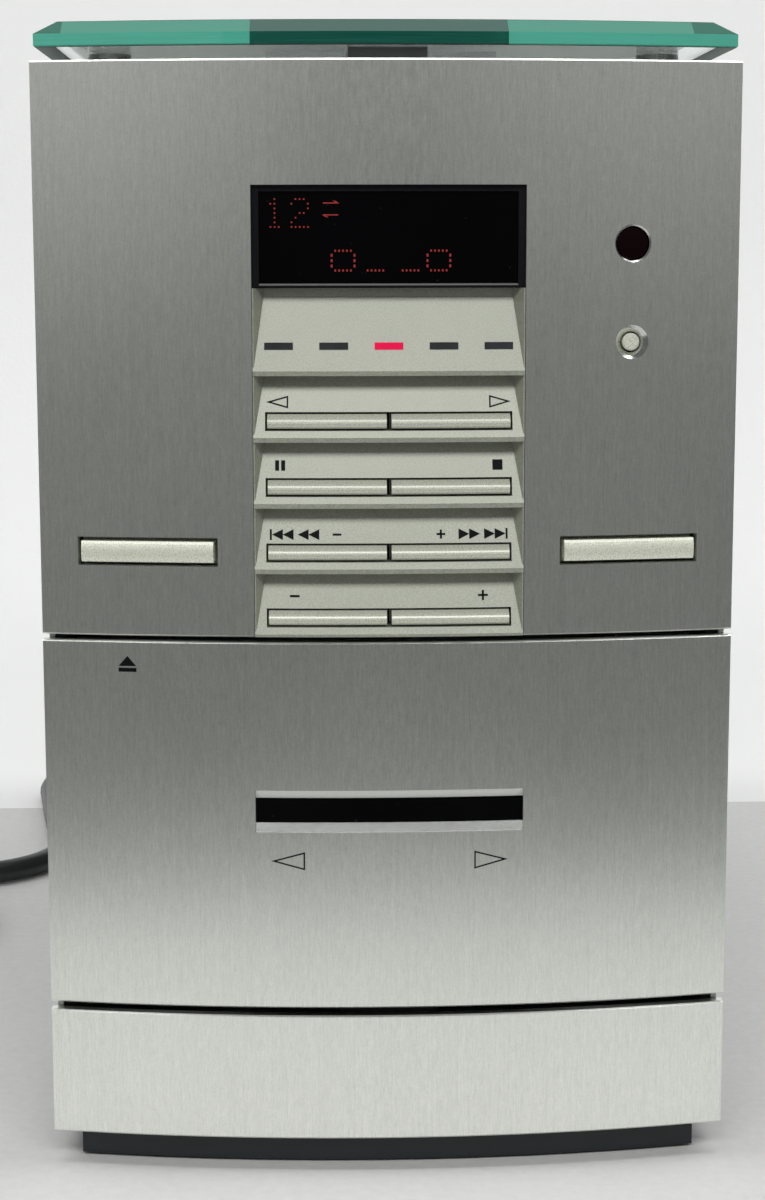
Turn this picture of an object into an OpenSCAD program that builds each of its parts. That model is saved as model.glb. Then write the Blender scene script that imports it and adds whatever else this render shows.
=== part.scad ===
// Micro hi-fi system: a narrow tower with a bowed front in three metal plates, a louvred control
// fascia, a cassette door that tilts out and a thick glass lid that a motor slides back off the disc.
// Millimetres. X is right, Y is back, Z is up, and the origin is under the middle of the whole part.
// The modules work with Y measured from the foremost line of the front; placed() moves it to the frame.

/* [Front plates] */
// Width of the three front plates
body_w = 128; // [127:1:134]
// How far the front bows forward at its middle
front_bow = 6.4; // [5.4:0.2:7.4]
// Thickness of the front plates
panel_t = 2; // [1.8:0.1:2.3]
// Bright chamfer along the front plates' level edges
panel_chamfer = 0.3; // [0.2:0.1:0.6]
// Height of the lower plate
lower_panel_h = 24.2; // [22:0.2:28]
// Height of the cassette door plate
door_panel_h = 69.6; // [69:0.2:74]
// Height of the upper plate
upper_panel_h = 103.6; // [103:0.2:110]
// Gap under the cassette door
door_gap_low = 1.5; // [1.5:0.1:2]
// Gap over the cassette door
door_gap_high = 1; // [0.8:0.1:1.4]

/* [Case] */
// Depth from the front's foremost line to the rear panel's outer face
case_depth = 274; // [270:1:300]
// How far the rear sockets stand out
socket_reach = 8; // [6:0.5:10]
// Height of the dark plinth
plinth_h = 5.6; // [4:0.2:8]
// How far the plinth's sides sit in from the plates' ends
plinth_side_set = 5; // [3:0.5:8]
// How far the plinth's front sits back
plinth_front_set = 4; // [3:0.5:6]
// Wall of the plinth moulding
plinth_wall = 2.5; // [2:0.1:4]
// How far the rubber feet stand proud
foot_h = 0.6; // [0.4:0.1:2]
// Diameter of the rubber feet
foot_d = 13; // [10:0.5:16]
// How far the case sides sit in from the plates' ends
case_side_set = 1; // [0.6:0.1:1.4]
// Thickness of the case sheet
sheet_t = 1; // [0.8:0.1:1.2]
// Thickness of the front frame moulding
frame_t = 2.5; // [2:0.1:3]
// Height of the inner shelf that carries the lid motor
shelf_rise = 144; // [135:1:146]

/* [Control fascia] */
// Width of the channel in the upper plate
channel_w = 49.4; // [48:0.2:51]
// Height of the channel
channel_h = 81.6; // [81:0.2:84]
// Pitch of the louvred rows
row_pitch = 12; // [11.8:0.05:12.1]
// Height of each row's lip
lip_h = 0.85; // [0.6:0.05:1.1]
// Depth of each louvre under the lip above it
louvre_deep = 4; // [3:0.1:4.4]
// Moulding left behind the deepest part of a louvre
fascia_back = 1.8; // [1.5:0.1:2.2]
// How far the side cheeks slant in
cheek_in = 2.2; // [1.5:0.1:2.4]
// Length of a row button
bar_w = 21.6; // [20:0.1:22]
// Height of a row button
bar_h = 2.55; // [2.2:0.05:3]
// Gap between the two buttons of a row
bar_gap = 0.9; // [0.7:0.1:1.2]
// Rise of a row button's middle above its row's lower edge
bar_rise = 3.75; // [3.5:0.05:4.5]
// How far the row buttons stand proud of the louvre
bar_proud = 0.5; // [0.4:0.1:1]
// How far a row button's face bulges
bar_crown = 0.8; // [0.3:0.1:1]
// Dark gap round each button
button_gap = 0.4; // [0.3:0.05:0.5]
// Travel of the buttons
button_travel = 0.8; // [0.5:0.1:0.8]
// Length of an indicator lens
led_w = 5.1; // [4:0.1:6]
// Height of an indicator lens
led_h = 1.2; // [1:0.1:1.6]
// Pitch of the indicator lenses
led_pitch = 9.95; // [8:0.05:10]
// Height of the display window
display_h = 18.2; // [17.4:0.2:18.4]
// Rim of the display window
display_rim = 1.3; // [1:0.1:2]

/* [Buttons on the plate] */
// Length of the power and function bars
key_w = 24.5; // [20:0.1:26]
// Height of the power and function bars
key_h = 3.8; // [3.6:0.1:5]
// Distance of the bars from the middle
key_x = 44.2; // [42.5:0.1:44.6]
// Rise of the bars above the plate's lower edge
key_rise = 15.6; // [13:0.1:20]
// How far the power and function bars stand proud
key_proud = 0.35; // [0.1:0.05:0.6]
// How far the faces of the power and function bars bulge
key_crown = 0.35; // [0.2:0.05:0.5]
// Dark gap round the power and function bars
key_gap = 0.75; // [0.4:0.05:0.8]
// Diameter of the sound button
mode_d = 3.2; // [2.6:0.1:3.6]
// Diameter of the polished dish round it
dish_d = 6.2; // [5.6:0.1:7]
// Rise of the sound button above the plate's lower edge
mode_rise = 53.5; // [46:0.5:56]
// Diameter of the remote window
remote_d = 6.1; // [5:0.1:7]
// Rise of the remote window above the plate's lower edge
remote_rise = 71.2; // [66:0.2:74]
// Bright chamfer round the remote window
remote_rim = 0.35; // [0.2:0.05:0.5]

/* [Cassette door] */
// Length of the window slot
slot_w = 49.6; // [46:0.2:52]
// Height of the slot's dark opening
slot_h = 4.7; // [4:0.1:6]
// Bright flare under the slot
slot_flare_low = 1.6; // [1:0.1:2.4]
// Bright flare over the slot
slot_flare_high = 1.6; // [1:0.1:2]
// How deep the two flares go
slot_flare_deep = 1.1; // [0.8:0.1:1.5]
// Rise of the slot's middle above the door's lower edge
slot_rise = 37.85; // [36:0.05:39]
// Width of the cassette pocket
pocket_w = 102.6; // [102:0.1:103.4]
// Depth of the cassette pocket
pocket_deep = 13.4; // [12.6:0.1:13.8]
// Wall of the cassette holder
holder_t = 1.5; // [1.2:0.1:1.8]
// Distance between the two reel spindles
reel_pitch = 42.5; // [42.3:0.1:42.7]
// Rise of the reel spindles above the door's lower edge
reel_rise = 39.1; // [38.5:0.1:40]
// Distance between the two capstans
capstan_pitch = 63; // [62:0.2:64]
// How far the capstans sit below the reel spindles
capstan_drop = 28; // [27:0.2:28.4]
// Diameter of the flywheels
flywheel_d = 34; // [30:0.5:35]
// Diameter of the motor pulley
pulley_d = 8; // [6:0.5:10]
// Height that the head carriage rises
head_lift = 4; // [3:0.1:4.4]
// Diameter of the door's hinge pin
hinge_d = 2; // [1.6:0.1:2]
// Teeth of the door's damper gear
damper_teeth = 16; // [16:1:18]
// Teeth that a whole ring of the door's gear arm would have
arm_teeth = 75; // [74:1:76]
// Tooth module of the damper gear
damper_module = 0.8; // [0.76:0.01:0.81]

/* [Disc and lid] */
// Diameter of the disc
disc_d = 120; // [119.6:0.1:120.2]
// Room round the disc
disc_room = 1; // [0.6:0.1:1.2]
// Depth of the disc well
well_deep = 7; // [6.4:0.1:7.6]
// Diameter of the turntable
turntable_d = 30; // [26:0.5:32]
// Diameter of the turntable's hub
hub_d = 14.8; // [14.6:0.05:14.9]
// Travel of the optical pickup
pickup_travel = 34; // [30:0.5:34]
// Teeth of the sled gear
sled_teeth = 16; // [16:1:17]
// Tooth module of the sled gear
sled_module = 0.6; // [0.58:0.01:0.62]
// Thickness of the glass lid
glass_t = 4.8; // [4.4:0.1:6]
// Width of the glass lid
glass_w = 127; // [124:0.5:128]
// Length of the glass lid
glass_l = 148; // [146:0.5:149]
// Level edge band of the glass
glass_band = 2.05; // [1:0.05:2.4]
// Slope of the glass's upper bevel, inward
bevel_top_in = 4; // [3:0.1:5]
// Small chamfer round the glass's lower edge
glass_arris = 0.3; // [0.2:0.05:0.5]
// Height of the glass over the front plate
glass_rise = 2.5; // [2.2:0.1:3.2]
// Diameter of the round pads under the glass
pad_d = 7.9; // [6:0.1:8]
// Distance of the front pads' middles behind the front's crest
pad_y = 25; // [12:0.5:25]
// Gap between the deck and the glass
lid_gap = 5.1; // [4.8:0.1:5.6]
// Thickness of the slide plate under the glass
slide_t = 2.4; // [2:0.1:3]
// Width of the slide plate's front tongue under the glass
tongue_w = 14.3; // [12:0.1:18]
// Width of the slide plate behind the tongue
slide_w = 45; // [40:0.5:50]
// Travel of the lid
lid_travel = 118; // [110:1:120]
// Teeth of the lid pinion
lid_teeth = 16; // [16:1:17]
// Tooth module of the lid pinion
lid_module = 0.9; // [0.88:0.01:0.92]

/* [Mains lead] */
// Diameter of the lead
cord_d = 6; // [5:0.5:7]
// Distance of the lead's exit from the middle
cord_exit_x = 44; // [42:1:48]
// Height of the lead's exit
cord_exit_z = 20; // [18:1:24]
// Length of the strain relief
relief_l = 27; // [20:1:40]
// Bend radius of the lead on the table
cord_bend = 27; // [25:1:30]
// Outer radius of the coil, to the middle of the lead
coil_r = 48; // [46:1:54]
// Gap between neighbouring turns of the coil
coil_gap = 1.4; // [1.3:0.1:2]
// Turns in the coil's lower layer
coil_turns = 3; // [2:1:3]
// Thickness of the tie round the coil
tie_t = 0.8; // [0.6:0.1:1.2]
// Length of the plug's pins
pin_l = 19; // [18:0.5:20]

/* [Hidden] */
$fn = 64;
BIG_FN = 256;
CROWN_STEPS = 8;
FIT = 0.1;
RUN = 0.3;
BORE = 0.04;
EPS = 0.5;
ADDENDUM = 0.8;
DEDENDUM = 1.1;
BACKLASH = 0.16;
PRESSURE = 20;

SILVER = "#b9bbb8";
CHAMPAGNE = "#c3c5b6";
BLACK = "#17191b";
DARK = "#23282b";
STEEL = "#8d9296";
BRASS = "#b89a4a";
BOARD = "#3f5b35";
RUBBER = "#1c1c1c";
GLASS = "#6fae98";

total_depth = case_depth + socket_reach;
hw = body_w / 2;
bow_r = (hw * hw + front_bow * front_bow) / (2 * front_bow);
sweep = 4 * asin(hw / bow_r) / 1.8;

z_low0 = foot_h + plinth_h;
z_low1 = z_low0 + lower_panel_h;
z_door0 = z_low1 + door_gap_low;
z_door1 = z_door0 + door_panel_h;
z_up0 = z_door1 + door_gap_high;
z_up1 = z_up0 + upper_panel_h;
z_glass = z_up1 + glass_rise;
z_deck = z_glass - lid_gap;

case_x = hw - case_side_set;
inner_x = case_x - sheet_t;
frame_x = inner_x - FIT;
rear_in = case_depth - sheet_t;
frame_in = panel_t + 0.05;
frame_back = frame_in + frame_t;
frame_top = z_deck - 2;

chan = channel_w / 2;
z_chan = z_up0 + channel_h;
z_disp = z_chan - display_h;
fascia_half = chan - FIT;
fascia_t = louvre_deep + fascia_back;
flange_x = chan + 1.7;
row_z0 = z_up0 - 0.35;
ROWS = [0, 1, 2, 3];
z_ind = row_z0 + 4 * row_pitch;
z_ind_top = z_disp - 1.6;
led_z = z_ind + 5.3;

board_y = fascia_t + 9.2;
switch_y = board_y - 4;
stem_y = switch_y - button_travel - 0.1;

key_z = z_up0 + key_rise;
mode_z = z_up0 + mode_rise;
remote_z = z_up0 + remote_rise;
key_lip = 1.5;
cap_in = frame_back + RUN + pow(key_w / 2 + key_lip, 2) / (2 * bow_r);

hinge_y = panel_t + 2.4;
hinge_z = z_low1 - 5.2;
knuckle_x = 8.9;
knuckle_r = hinge_d / 2 + 1;
lug_w = 3.5;
pocket_x = pocket_w / 2;
holder_x = pocket_x + holder_t;
wall_y = fy(holder_x) + panel_t + 0.05;
pocket_y0 = wall_y + holder_t;
pocket_y1 = pocket_y0 + pocket_deep;
holder_y = pocket_y1 + holder_t;
slot_z = z_door0 + slot_rise;
reel_z = z_door0 + reel_rise;
reel_x = reel_pitch / 2;
cap_z = reel_z - capstan_drop;
cap_x = capstan_pitch / 2;
holder_z0 = reel_z - 35.8;
holder_z1 = z_door1 - 4.2;
deck_y = holder_y + 1.7;
deck_t = 1.5;
wheel_y = deck_y + 8.5;
wheel_t = 5;
bracket_y = wheel_y + wheel_t + 4;
bracket_t = 1.2;
pulley_z = reel_z + 13;
arm_x0 = max(holder_x, cap_x + flywheel_d / 2 + 4.3);
arm_x1 = arm_x0 + 2.2;
arm_rp = damper_module * arm_teeth / 2;
damper_rp = damper_module * damper_teeth / 2;
damper_reach = arm_rp + damper_rp + 0.1;
damper_at = 30;
damper_y = hinge_y + damper_reach * cos(damper_at);
damper_z = hinge_z + damper_reach * sin(damper_at);

well_r = disc_d / 2 + disc_room;
disc_y = 6 + well_r;
well_z = z_deck - well_deep;
floor_z = well_z - 2;
deck_back = disc_y + well_r + 14;
plate_z = floor_z - 13;
rod_z = plate_z + 7;
rod_x = 21;
lens_y = disc_y + 24;
pick_half = 9;
sled_rp = sled_module * sled_teeth / 2;
sled_pitch_x = rod_x + 5.6;
sled_x = sled_pitch_x + sled_rp + 0.08;
sled_y = disc_y + 25;
BUSHES = [[-38, -21], [38, -21], [-38, 41], [38, 41]];

lid_y = 2.5;
lid_back = lid_y + glass_l;
post_y0 = deck_back + 1;
post_y1 = post_y0 + 6.5;
lid_rod_z = floor_z - 5.5;
lid_rod_r = 2.5;
rack_x1 = frame_x - 6.4;
rack_x0 = rack_x1 - 4;
lid_rp = lid_module * lid_teeth / 2;
lid_pitch_x = rack_x0 - lid_module;
pinion_x = lid_pitch_x - lid_rp - 0.08;
pinion_y = post_y0 + 1;
rack_z0 = floor_z - 6;
rack_z1 = floor_z - 1.5;
cross_z0 = floor_z + 0.5;
cross_z1 = cross_z0 + 4;
shelf_z = z_low0 + shelf_rise;

TABLE_GAP = 0.4;
RINGS = 24;
TUBE_SIDES = 6;
cord_y = case_depth + relief_l + 2;
cord_z = TABLE_GAP + cord_d / 2;
coil_z = cord_z + tie_t + 0.2;
coil_pitch = cord_d + coil_gap;
coil_in = coil_r - coil_pitch * (coil_turns + 0.25);
coil_end = 2 * coil_turns + 0.25;
plug_h = 13.6;
plug_z = TABLE_GAP + plug_h / 2;
tail_l = 46;
relief_neck = cord_d / 2 + 1.4;

// Y of the bowed front at a distance x from the middle.
function fy(x) = bow_r - sqrt(bow_r * bow_r - x * x);

// Depth of a louvre's floor behind the front, z above its row's lower edge.
function louvre_depth(z, top) = louvre_deep * (z - lip_h) / (top - lip_h);

// Outline of a bulging face between two points of depth and Z, its ends set back by rise.
function crowned(d0, z0, d1, z1, rise) =
    [for (i = [0:CROWN_STEPS]) let (t = i / CROWN_STEPS)
        [d0 + (d1 - d0) * t + rise * pow(2 * t - 1, 2), z0 + (z1 - z0) * t]];

function polar(r, a) = [r * cos(a), r * sin(a)];
function involute(a) = tan(a) * 180 / PI - a;

// Half the angle that a gear tooth covers at radius r.
function tooth_half(r, rp, m) =
    let (rb = rp * cos(PRESSURE), s = (PI * m / 4 - BACKLASH / 2) / rp * 180 / PI)
    s + involute(PRESSURE) - (r > rb ? involute(acos(rb / r)) : 0);

// One tooth's outline, from root to tip to root, its middle at angle a.
function tooth(m, n, a) =
    let (rp = m * n / 2, r0 = rp - m * DEDENDUM, r1 = rp + m * ADDENDUM, k = 5)
    concat([for (i = [0:k]) let (r = r0 + (r1 - r0) * i / k) polar(r, a - tooth_half(r, rp, m))],
        [for (i = [k:-1:0]) let (r = r0 + (r1 - r0) * i / k) polar(r, a + tooth_half(r, rp, m))]);

module placed() {
    translate([0, -total_depth / 2, 0]) children();
}

module box(x0, x1, y0, y1, z0, z1) {
    translate([x0, y0, z0]) cube([x1 - x0, y1 - y0, z1 - z0]);
}

module mirrored() {
    children();
    mirror([1, 0, 0]) children();
}

// Half outline of a turned cap: radius r, rim chamfer c, length l.
module cap_profile(r, c, l) {
    polygon([[0, 0], [r - c, 0], [r, c], [r, l], [0, l]]);
}

module rod_x(x0, x1, y, z, r) {
    translate([x0, y, z]) rotate([0, 90, 0]) cylinder(r = r, h = x1 - x0);
}

module rod_y(y0, y1, x, z, r) {
    translate([x, y0, z]) rotate([-90, 0, 0]) cylinder(r = r, h = y1 - y0);
}

module rod_z(z0, z1, x, y, r) {
    translate([x, y, z0]) cylinder(r = r, h = z1 - z0);
}

// Extrudes an outline drawn in Y and Z along X.
module along_x(x0, x1) {
    translate([x0, 0, 0]) rotate([90, 0, 90]) linear_extrude(x1 - x0) children();
}

// Extrudes an outline drawn in X and Z along Y.
module along_y(y0, y1) {
    translate([0, y1, 0]) rotate([90, 0, 0]) linear_extrude(y1 - y0) children();
}

// Sweeps an outline of depth behind the front and Z round the front's bow, between two x.
module bowed(x0, x1, points) {
    zs = [for (p = points) p[1]];
    intersection() {
        translate([0, bow_r, 0]) rotate([0, 0, 270 - sweep / 2])
            rotate_extrude(angle = sweep, $fn = BIG_FN) polygon([for (p = points) [bow_r - p[0], p[1]]]);
        box(x0, x1, -5, fy(hw) + 30, min(zs) - 1, max(zs) + 1);
    }
}

module bowed_slab(x0, x1, d0, d1, z0, z1) {
    bowed(x0, x1, [[d0, z0], [d1, z0], [d1, z1], [d0, z1]]);
}

// A front plate with chamfered level edges.
module front_plate(z0, z1) {
    c = panel_chamfer;
    bowed(-hw, hw, [[c, z0], [panel_t, z0], [panel_t, z1], [c, z1], [0, z1 - c], [0, z0 + c]]);
}

// Everything behind the bowed front at a given depth.
module behind_front(depth, z0, z1) {
    translate([0, bow_r, z0]) cylinder(r = bow_r - depth, h = z1 - z0, $fn = BIG_FN);
}

// Puts children on the front at x, with local Y going straight in.
module on_front(x, z) {
    translate([x, fy(x), z]) rotate([0, 0, asin(x / bow_r)]) children();
}

module gear(m, n, t, turn, bore_r) {
    linear_extrude(t) difference() {
        polygon([for (i = [0:n - 1]) each tooth(m, n, turn + i * 360 / n)]);
        circle(r = bore_r);
    }
}

// A straight rack along Y with its teeth towards -X; local X is 0 on the pitch line.
module rack(m, y0, y1, y_gap, back, t) {
    p = PI * m;
    half = p / 4 - BACKLASH / 2;
    top = half - m * ADDENDUM * tan(PRESSURE);
    foot = half + m * DEDENDUM * tan(PRESSURE);
    first = ceil((y0 - y_gap) / p);
    last = floor((y1 - y_gap) / p) - 1;
    root = m * DEDENDUM + EPS;
    linear_extrude(t) union() {
        translate([m * DEDENDUM, y0]) square([back - m * DEDENDUM, y1 - y0]);
        polygon(concat([[root, y_gap + first * p], [root, y_gap + (last + 1) * p]],
            [for (i = [last:-1:first]) let (y = y_gap + (i + 0.5) * p)
                each [[m * DEDENDUM, y + foot], [-m * ADDENDUM, y + top],
                    [-m * ADDENDUM, y - top], [m * DEDENDUM, y - foot]]]));
    }
}

module screw_head(r) {
    difference() {
        cylinder(r = r, h = 1.5);
        translate([-r * 0.62, -0.4, 0.8]) cube([r * 1.24, 0.8, 1]);
        translate([-0.4, -r * 0.62, 0.8]) cube([0.8, r * 1.24, 1]);
    }
}

// CASE

module base_plinth() color(DARK) placed() {
    px = hw - plinth_side_set;
    pf = fy(px) + plinth_front_set + plinth_wall;
    back = case_depth - 6;
    top = z_low0 - 2;
    difference() {
        intersection() {
            behind_front(plinth_front_set, foot_h, z_low0);
            box(-px, px, 0, back, foot_h, z_low0);
        }
        difference() {
            box(plinth_wall - px, px - plinth_wall, pf, back - plinth_wall, foot_h - 1, top);
            for (x = [-1, 1], y = [0, 1])
                rod_z(foot_h - 2, top + 1, x * foot_x(), foot_y(y), foot_d / 2 + 1.5);
            for (y = [80, 150])
                box(-px, px, y, y + 2, foot_h - 2, top + 1);
            box(-1, 1, pf - 1, back, foot_h - 2, top + 1);
        }
    }
}

function foot_x() = hw - plinth_side_set - foot_d / 2 - 5;
function foot_y(i) = i == 0 ? 26 : case_depth - 24;

module rubber_feet() color(RUBBER) placed() {
    for (x = [-1, 1], y = [0, 1])
        translate([x * foot_x(), foot_y(y), 0]) rotate_extrude()
            polygon([[0, 0.2], [foot_d / 2 - 2, 0.2], [foot_d / 2 - 1.5, 0], [foot_d / 2 - 0.4, 0],
                [foot_d / 2, foot_h], [0, foot_h]]);
}

// Folded tray with a bridge shelf over the main board.
module chassis_tray() color(STEEL) placed() {
    t = 1.2;
    x = frame_x - 0.6;
    y0 = fy(hw) + panel_t + 6;
    sx = x - 3.4;
    difference() {
        union() {
            box(-x, x, y0, rear_in - FIT, z_low0, z_low0 + t);
            mirrored() {
                box(x - t, x, y0 + 16, rear_in - FIT, z_low0, z_low0 + 8);
                box(sx - t, sx, deck_back - 18, deck_back + 62, z_low0, shelf_z);
            }
            box(-sx, sx, deck_back - 18, deck_back + 62, shelf_z - t, shelf_z);
        }
        box(-hw, hw, deck_back - 8, deck_back + 52, z_low0 + 14, shelf_z - 14);
        for (i = [0:5])
            box(-40, 40, 96 + i * 14, 100 + i * 14, z_low0 - 1, z_low0 + t + 1);
    }
}

// Wrap-round cover with vents low on its sides and a slot for the lid's post.
module cabinet_cover() color(DARK) placed() {
    y0 = fy(case_x) + panel_t + 0.3;
    difference() {
        union() {
            mirrored() box(inner_x, case_x, y0, rear_in, z_low0 + 0.2, z_deck);
            box(-case_x, case_x, deck_back + 0.2, rear_in, z_deck - sheet_t, z_deck);
            box(-6, 6, rear_in - 5.5, rear_in - 2.5, lid_rod_z - 5, z_deck - sheet_t + EPS);
        }
        box(-4.2, 4.2, post_y0 - 0.6, post_y1 + lid_travel + 0.8, z_deck - sheet_t - 1, z_deck + 1);
        rod_y(rear_in - 6, rear_in - 2, 0, lid_rod_z, lid_rod_r + 0.02);
        mirrored() for (i = [0:7])
            box(inner_x - 1, case_x + 1, 170 + i * 10, 173 + i * 10, z_low0 + 20, z_low0 + 62);
    }
}

PHONO = [[-30, 150], [-30, 166], [-12, 150], [-12, 166]];
SPEAKER = [[-30, 44], [-14, 44], [-30, 60], [-14, 60]];
AERIAL = [34, 158];

module rear_panel() color(DARK) placed() difference() {
    box(-case_x, case_x, rear_in, case_depth, z_low0 + 0.2, z_deck);
    for (p = concat(PHONO, SPEAKER))
        rod_y(rear_in - 1, case_depth + 1, p[0], p[1], 4.2);
    rod_y(rear_in - 1, case_depth + 1, AERIAL[0], AERIAL[1], 5);
    rod_y(rear_in - 1, case_depth + 1, -cord_exit_x, cord_exit_z, relief_neck + FIT);
    for (i = [0:9])
        box(14, 50, rear_in - 1, case_depth + 1, 66 + i * 6.5, 69 + i * 6.5);
}

// Black moulding that the front plates are bonded to and the controls are carried by.
module front_frame() color(BLACK) placed() difference() {
    union() {
        bowed_slab(-frame_x, frame_x, frame_in, frame_back, z_up0 + 0.4, frame_top);
        bowed_slab(-frame_x, frame_x, frame_in, frame_back, z_low0 + 0.6, z_low1 - 0.2);
        mirrored() {
            difference() {
                box(frame_x - 2, frame_x, fy(hw) + panel_t + 1, deck_y + deck_t + 3, z_low0 + 1.2,
                    frame_top);
                rod_x(arm_x0 - RUN, arm_x1 + RUN, hinge_y, hinge_z, arm_rp + 2 * damper_module);
            }
            box(knuckle_x + RUN, knuckle_x + RUN + lug_w, frame_back - 1, hinge_y + 2.2,
                hinge_z - 2.4, hinge_z + 2.4);
            for (z = [z_disp + 2.4, z_chan - 1.4])
                rod_y(fy(29) + frame_in + 1, fascia_t + 5.1, 29, z, 2);
            for (z = [z_up0 + 5.5, z_up0 + 57])
                rod_y(fy(55) + frame_in + 1, board_y, 56, z, 2.4);
            box(frame_x - 10, frame_x - 1, deck_y + deck_t, deck_y + deck_t + 3, reel_z - 6, reel_z + 6);
        }
        box(-frame_x, frame_x, fascia_t + 1.5, deck_y - FIT, z_up0 + 0.2, z_up0 + 1.2);
        box(-frame_x, frame_x, holder_y + RUN, deck_y - FIT, z_door1 - 2.4, z_up0 + 1.2);
    }
    box(-flange_x - 0.5, flange_x + 0.5, 0, 12, z_up0, z_chan + 1.9);
    for (s = [-1, 1])
        on_front(s * key_x, key_z)
            key_hole(-1, 8);
    on_front(key_x, mode_z) rod_y(-1, 8, 0, 0, mode_d / 2 + RUN);
    on_front(key_x, remote_z) rod_y(-1, 8, 0, 0, remote_d / 2 + FIT);
    box(-knuckle_x - RUN, knuckle_x + RUN, 0, 12, hinge_z - 3.2, z_low1 + 1);
    rod_x(-20, 20, hinge_y, hinge_z, hinge_d / 2 + 0.02);
}

module lower_front_panel() color(SILVER) placed() front_plate(z_low0, z_low1);

module upper_front_panel() color(SILVER) placed() difference() {
    front_plate(z_up0, z_up1);
    box(-chan, chan, -2, 12, z_up0 - 1, z_chan);
    for (s = [-1, 1])
        on_front(s * key_x, key_z)
            key_hole(-3, 6);
    on_front(key_x, mode_z) {
        rod_y(-3, 6, 0, 0, mode_d / 2 + RUN);
        translate([0, -0.02, 0]) rotate([-90, 0, 0]) cylinder(d1 = dish_d, d2 = mode_d + 2 * RUN, h = 1.1);
    }
    on_front(key_x, remote_z) {
        rod_y(-3, 6, 0, 0, remote_d / 2 + 0.05);
        translate([0, -0.02, 0]) rotate([-90, 0, 0])
            cylinder(d1 = remote_d + 2 * remote_rim, d2 = remote_d, h = remote_rim);
    }
}

// CONTROLS

// Louvred moulding: one saw-tooth outline swept round the bow, with slanted cheeks at its ends.
module control_fascia() color(CHAMPAGNE) placed() difference() {
    side = fy(fascia_half) + 0.2;
    cheek_x = fascia_half - cheek_in;
    teeth = [for (i = ROWS) let (z = row_z0 + (i + 1) * row_pitch)
        each [[louvre_deep, z], [0, z], [0, z + lip_h]]];
    union() {
        bowed(-fascia_half, fascia_half, concat([[fascia_t, z_up0], [0, z_up0], [0, row_z0 + lip_h]], teeth,
            [[louvre_deep, z_ind_top], [louvre_deep, z_disp - FIT], [fascia_t, z_disp - FIT]]));
        mirrored() {
            translate([0, 0, z_up0]) linear_extrude(z_disp - FIT - z_up0)
                polygon([[fascia_half, side], [fascia_half - 0.25, side], [cheek_x, side + louvre_deep],
                    [cheek_x, fascia_t], [fascia_half, fascia_t]]);
            box(fascia_half - 1, flange_x, fy(flange_x) + panel_t + 0.05, fascia_t, z_up0 + 1, z_disp - FIT);
        }
    }
    for (i = ROWS)
        box(-bar_end() - button_gap, bar_end() + button_gap, -1, 12, bar_z(i) - bar_h / 2 - button_gap,
            bar_z(i) + bar_h / 2 + button_gap);
    for (i = [-2:2])
        box(i * led_pitch - led_w / 2 - 0.05, i * led_pitch + led_w / 2 + 0.05, -1, 12,
            led_z - led_h / 2 - 0.05, led_z + led_h / 2 + 0.05);
}

function bar_z(i) = row_z0 + i * row_pitch + bar_rise;
function bar_end() = bar_w + bar_gap / 2;

// A row button: bulging, slanted like the louvre, with a flange behind the fascia and a stem to its switch.
module row_button(i, s) {
    z0 = bar_z(i) - bar_h / 2;
    z1 = bar_z(i) + bar_h / 2;
    d0 = louvre_depth(bar_rise - bar_h / 2, row_pitch) - bar_proud;
    d1 = louvre_depth(bar_rise + bar_h / 2, row_pitch) - bar_proud;
    back = fascia_t + fy(bar_end() + 0.9) + FIT;
    color(CHAMPAGNE) placed() mirror([s < 0 ? 1 : 0, 0, 0]) {
        bowed(bar_gap / 2, bar_end(), concat(crowned(d0, z0, d1, z1, bar_crown),
            [[back + 0.5, z1], [back + 0.5, z0]]));
        box(0.15, bar_end() + 0.9, back, back + 1, z0 - 0.7, z1 + 0.7);
        box(bar_w / 2 - 1, bar_w / 2 + 2, back, stem_y, bar_z(i) - 1.2, bar_z(i) + 1.2);
    }
}

module reverse_play_button() row_button(3, -1);
module forward_play_button() row_button(3, 1);
module pause_button() row_button(2, -1);
module stop_button() row_button(2, 1);
module skip_back_button() row_button(1, -1);
module skip_forward_button() row_button(1, 1);
module volume_down_button() row_button(0, -1);
module volume_up_button() row_button(0, 1);

module key_hole(y0, y1) {
    w = key_w / 2 + key_gap;
    h = key_h / 2 + key_gap;
    box(-w, w, y0, y1, -h, h);
}

// A bar set in the plate, with a flange behind the frame and a stem to its switch.
module plate_bar(s) {
    reach = stem_y - fy(key_x) - 0.4;
    color(CHAMPAGNE) placed() on_front(s * key_x, key_z) {
        along_x(-key_w / 2, key_w / 2)
            polygon(concat(crowned(-key_proud, -key_h / 2, -key_proud, key_h / 2, key_crown),
                [[cap_in + 0.5, key_h / 2], [cap_in + 0.5, -key_h / 2]]));
        box(-key_w / 2 - key_lip, key_w / 2 + key_lip, cap_in, cap_in + 1,
            -key_h / 2 - 1.4, key_h / 2 + 1.4);
        box(-1.5, 1.5, cap_in, reach, -1.4, 1.4);
    }
}

module power_button() plate_bar(-1);
module function_button() plate_bar(1);

module sound_mode_button() color(SILVER) placed() on_front(key_x, mode_z) {
    translate([0, 0.4, 0]) rotate([-90, 0, 0]) rotate_extrude()
        cap_profile(mode_d / 2, 0.3, cap_in - 0.3);
    rod_y(cap_in, cap_in + 1, 0, 0, mode_d / 2 + 1.4);
    rod_y(cap_in, stem_y - fy(key_x) - 0.3, 0, 0, 1.2);
}

module remote_window() color("#2a0d10") placed() on_front(key_x, remote_z) {
    translate([0, remote_rim, 0]) rotate([-90, 0, 0]) rotate_extrude()
        cap_profile(remote_d / 2, 0.3, frame_back + 0.1 - remote_rim);
    rod_y(frame_back + 0.04, frame_back + 1.2, 0, 0, remote_d / 2 + 1.2);
}

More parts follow.
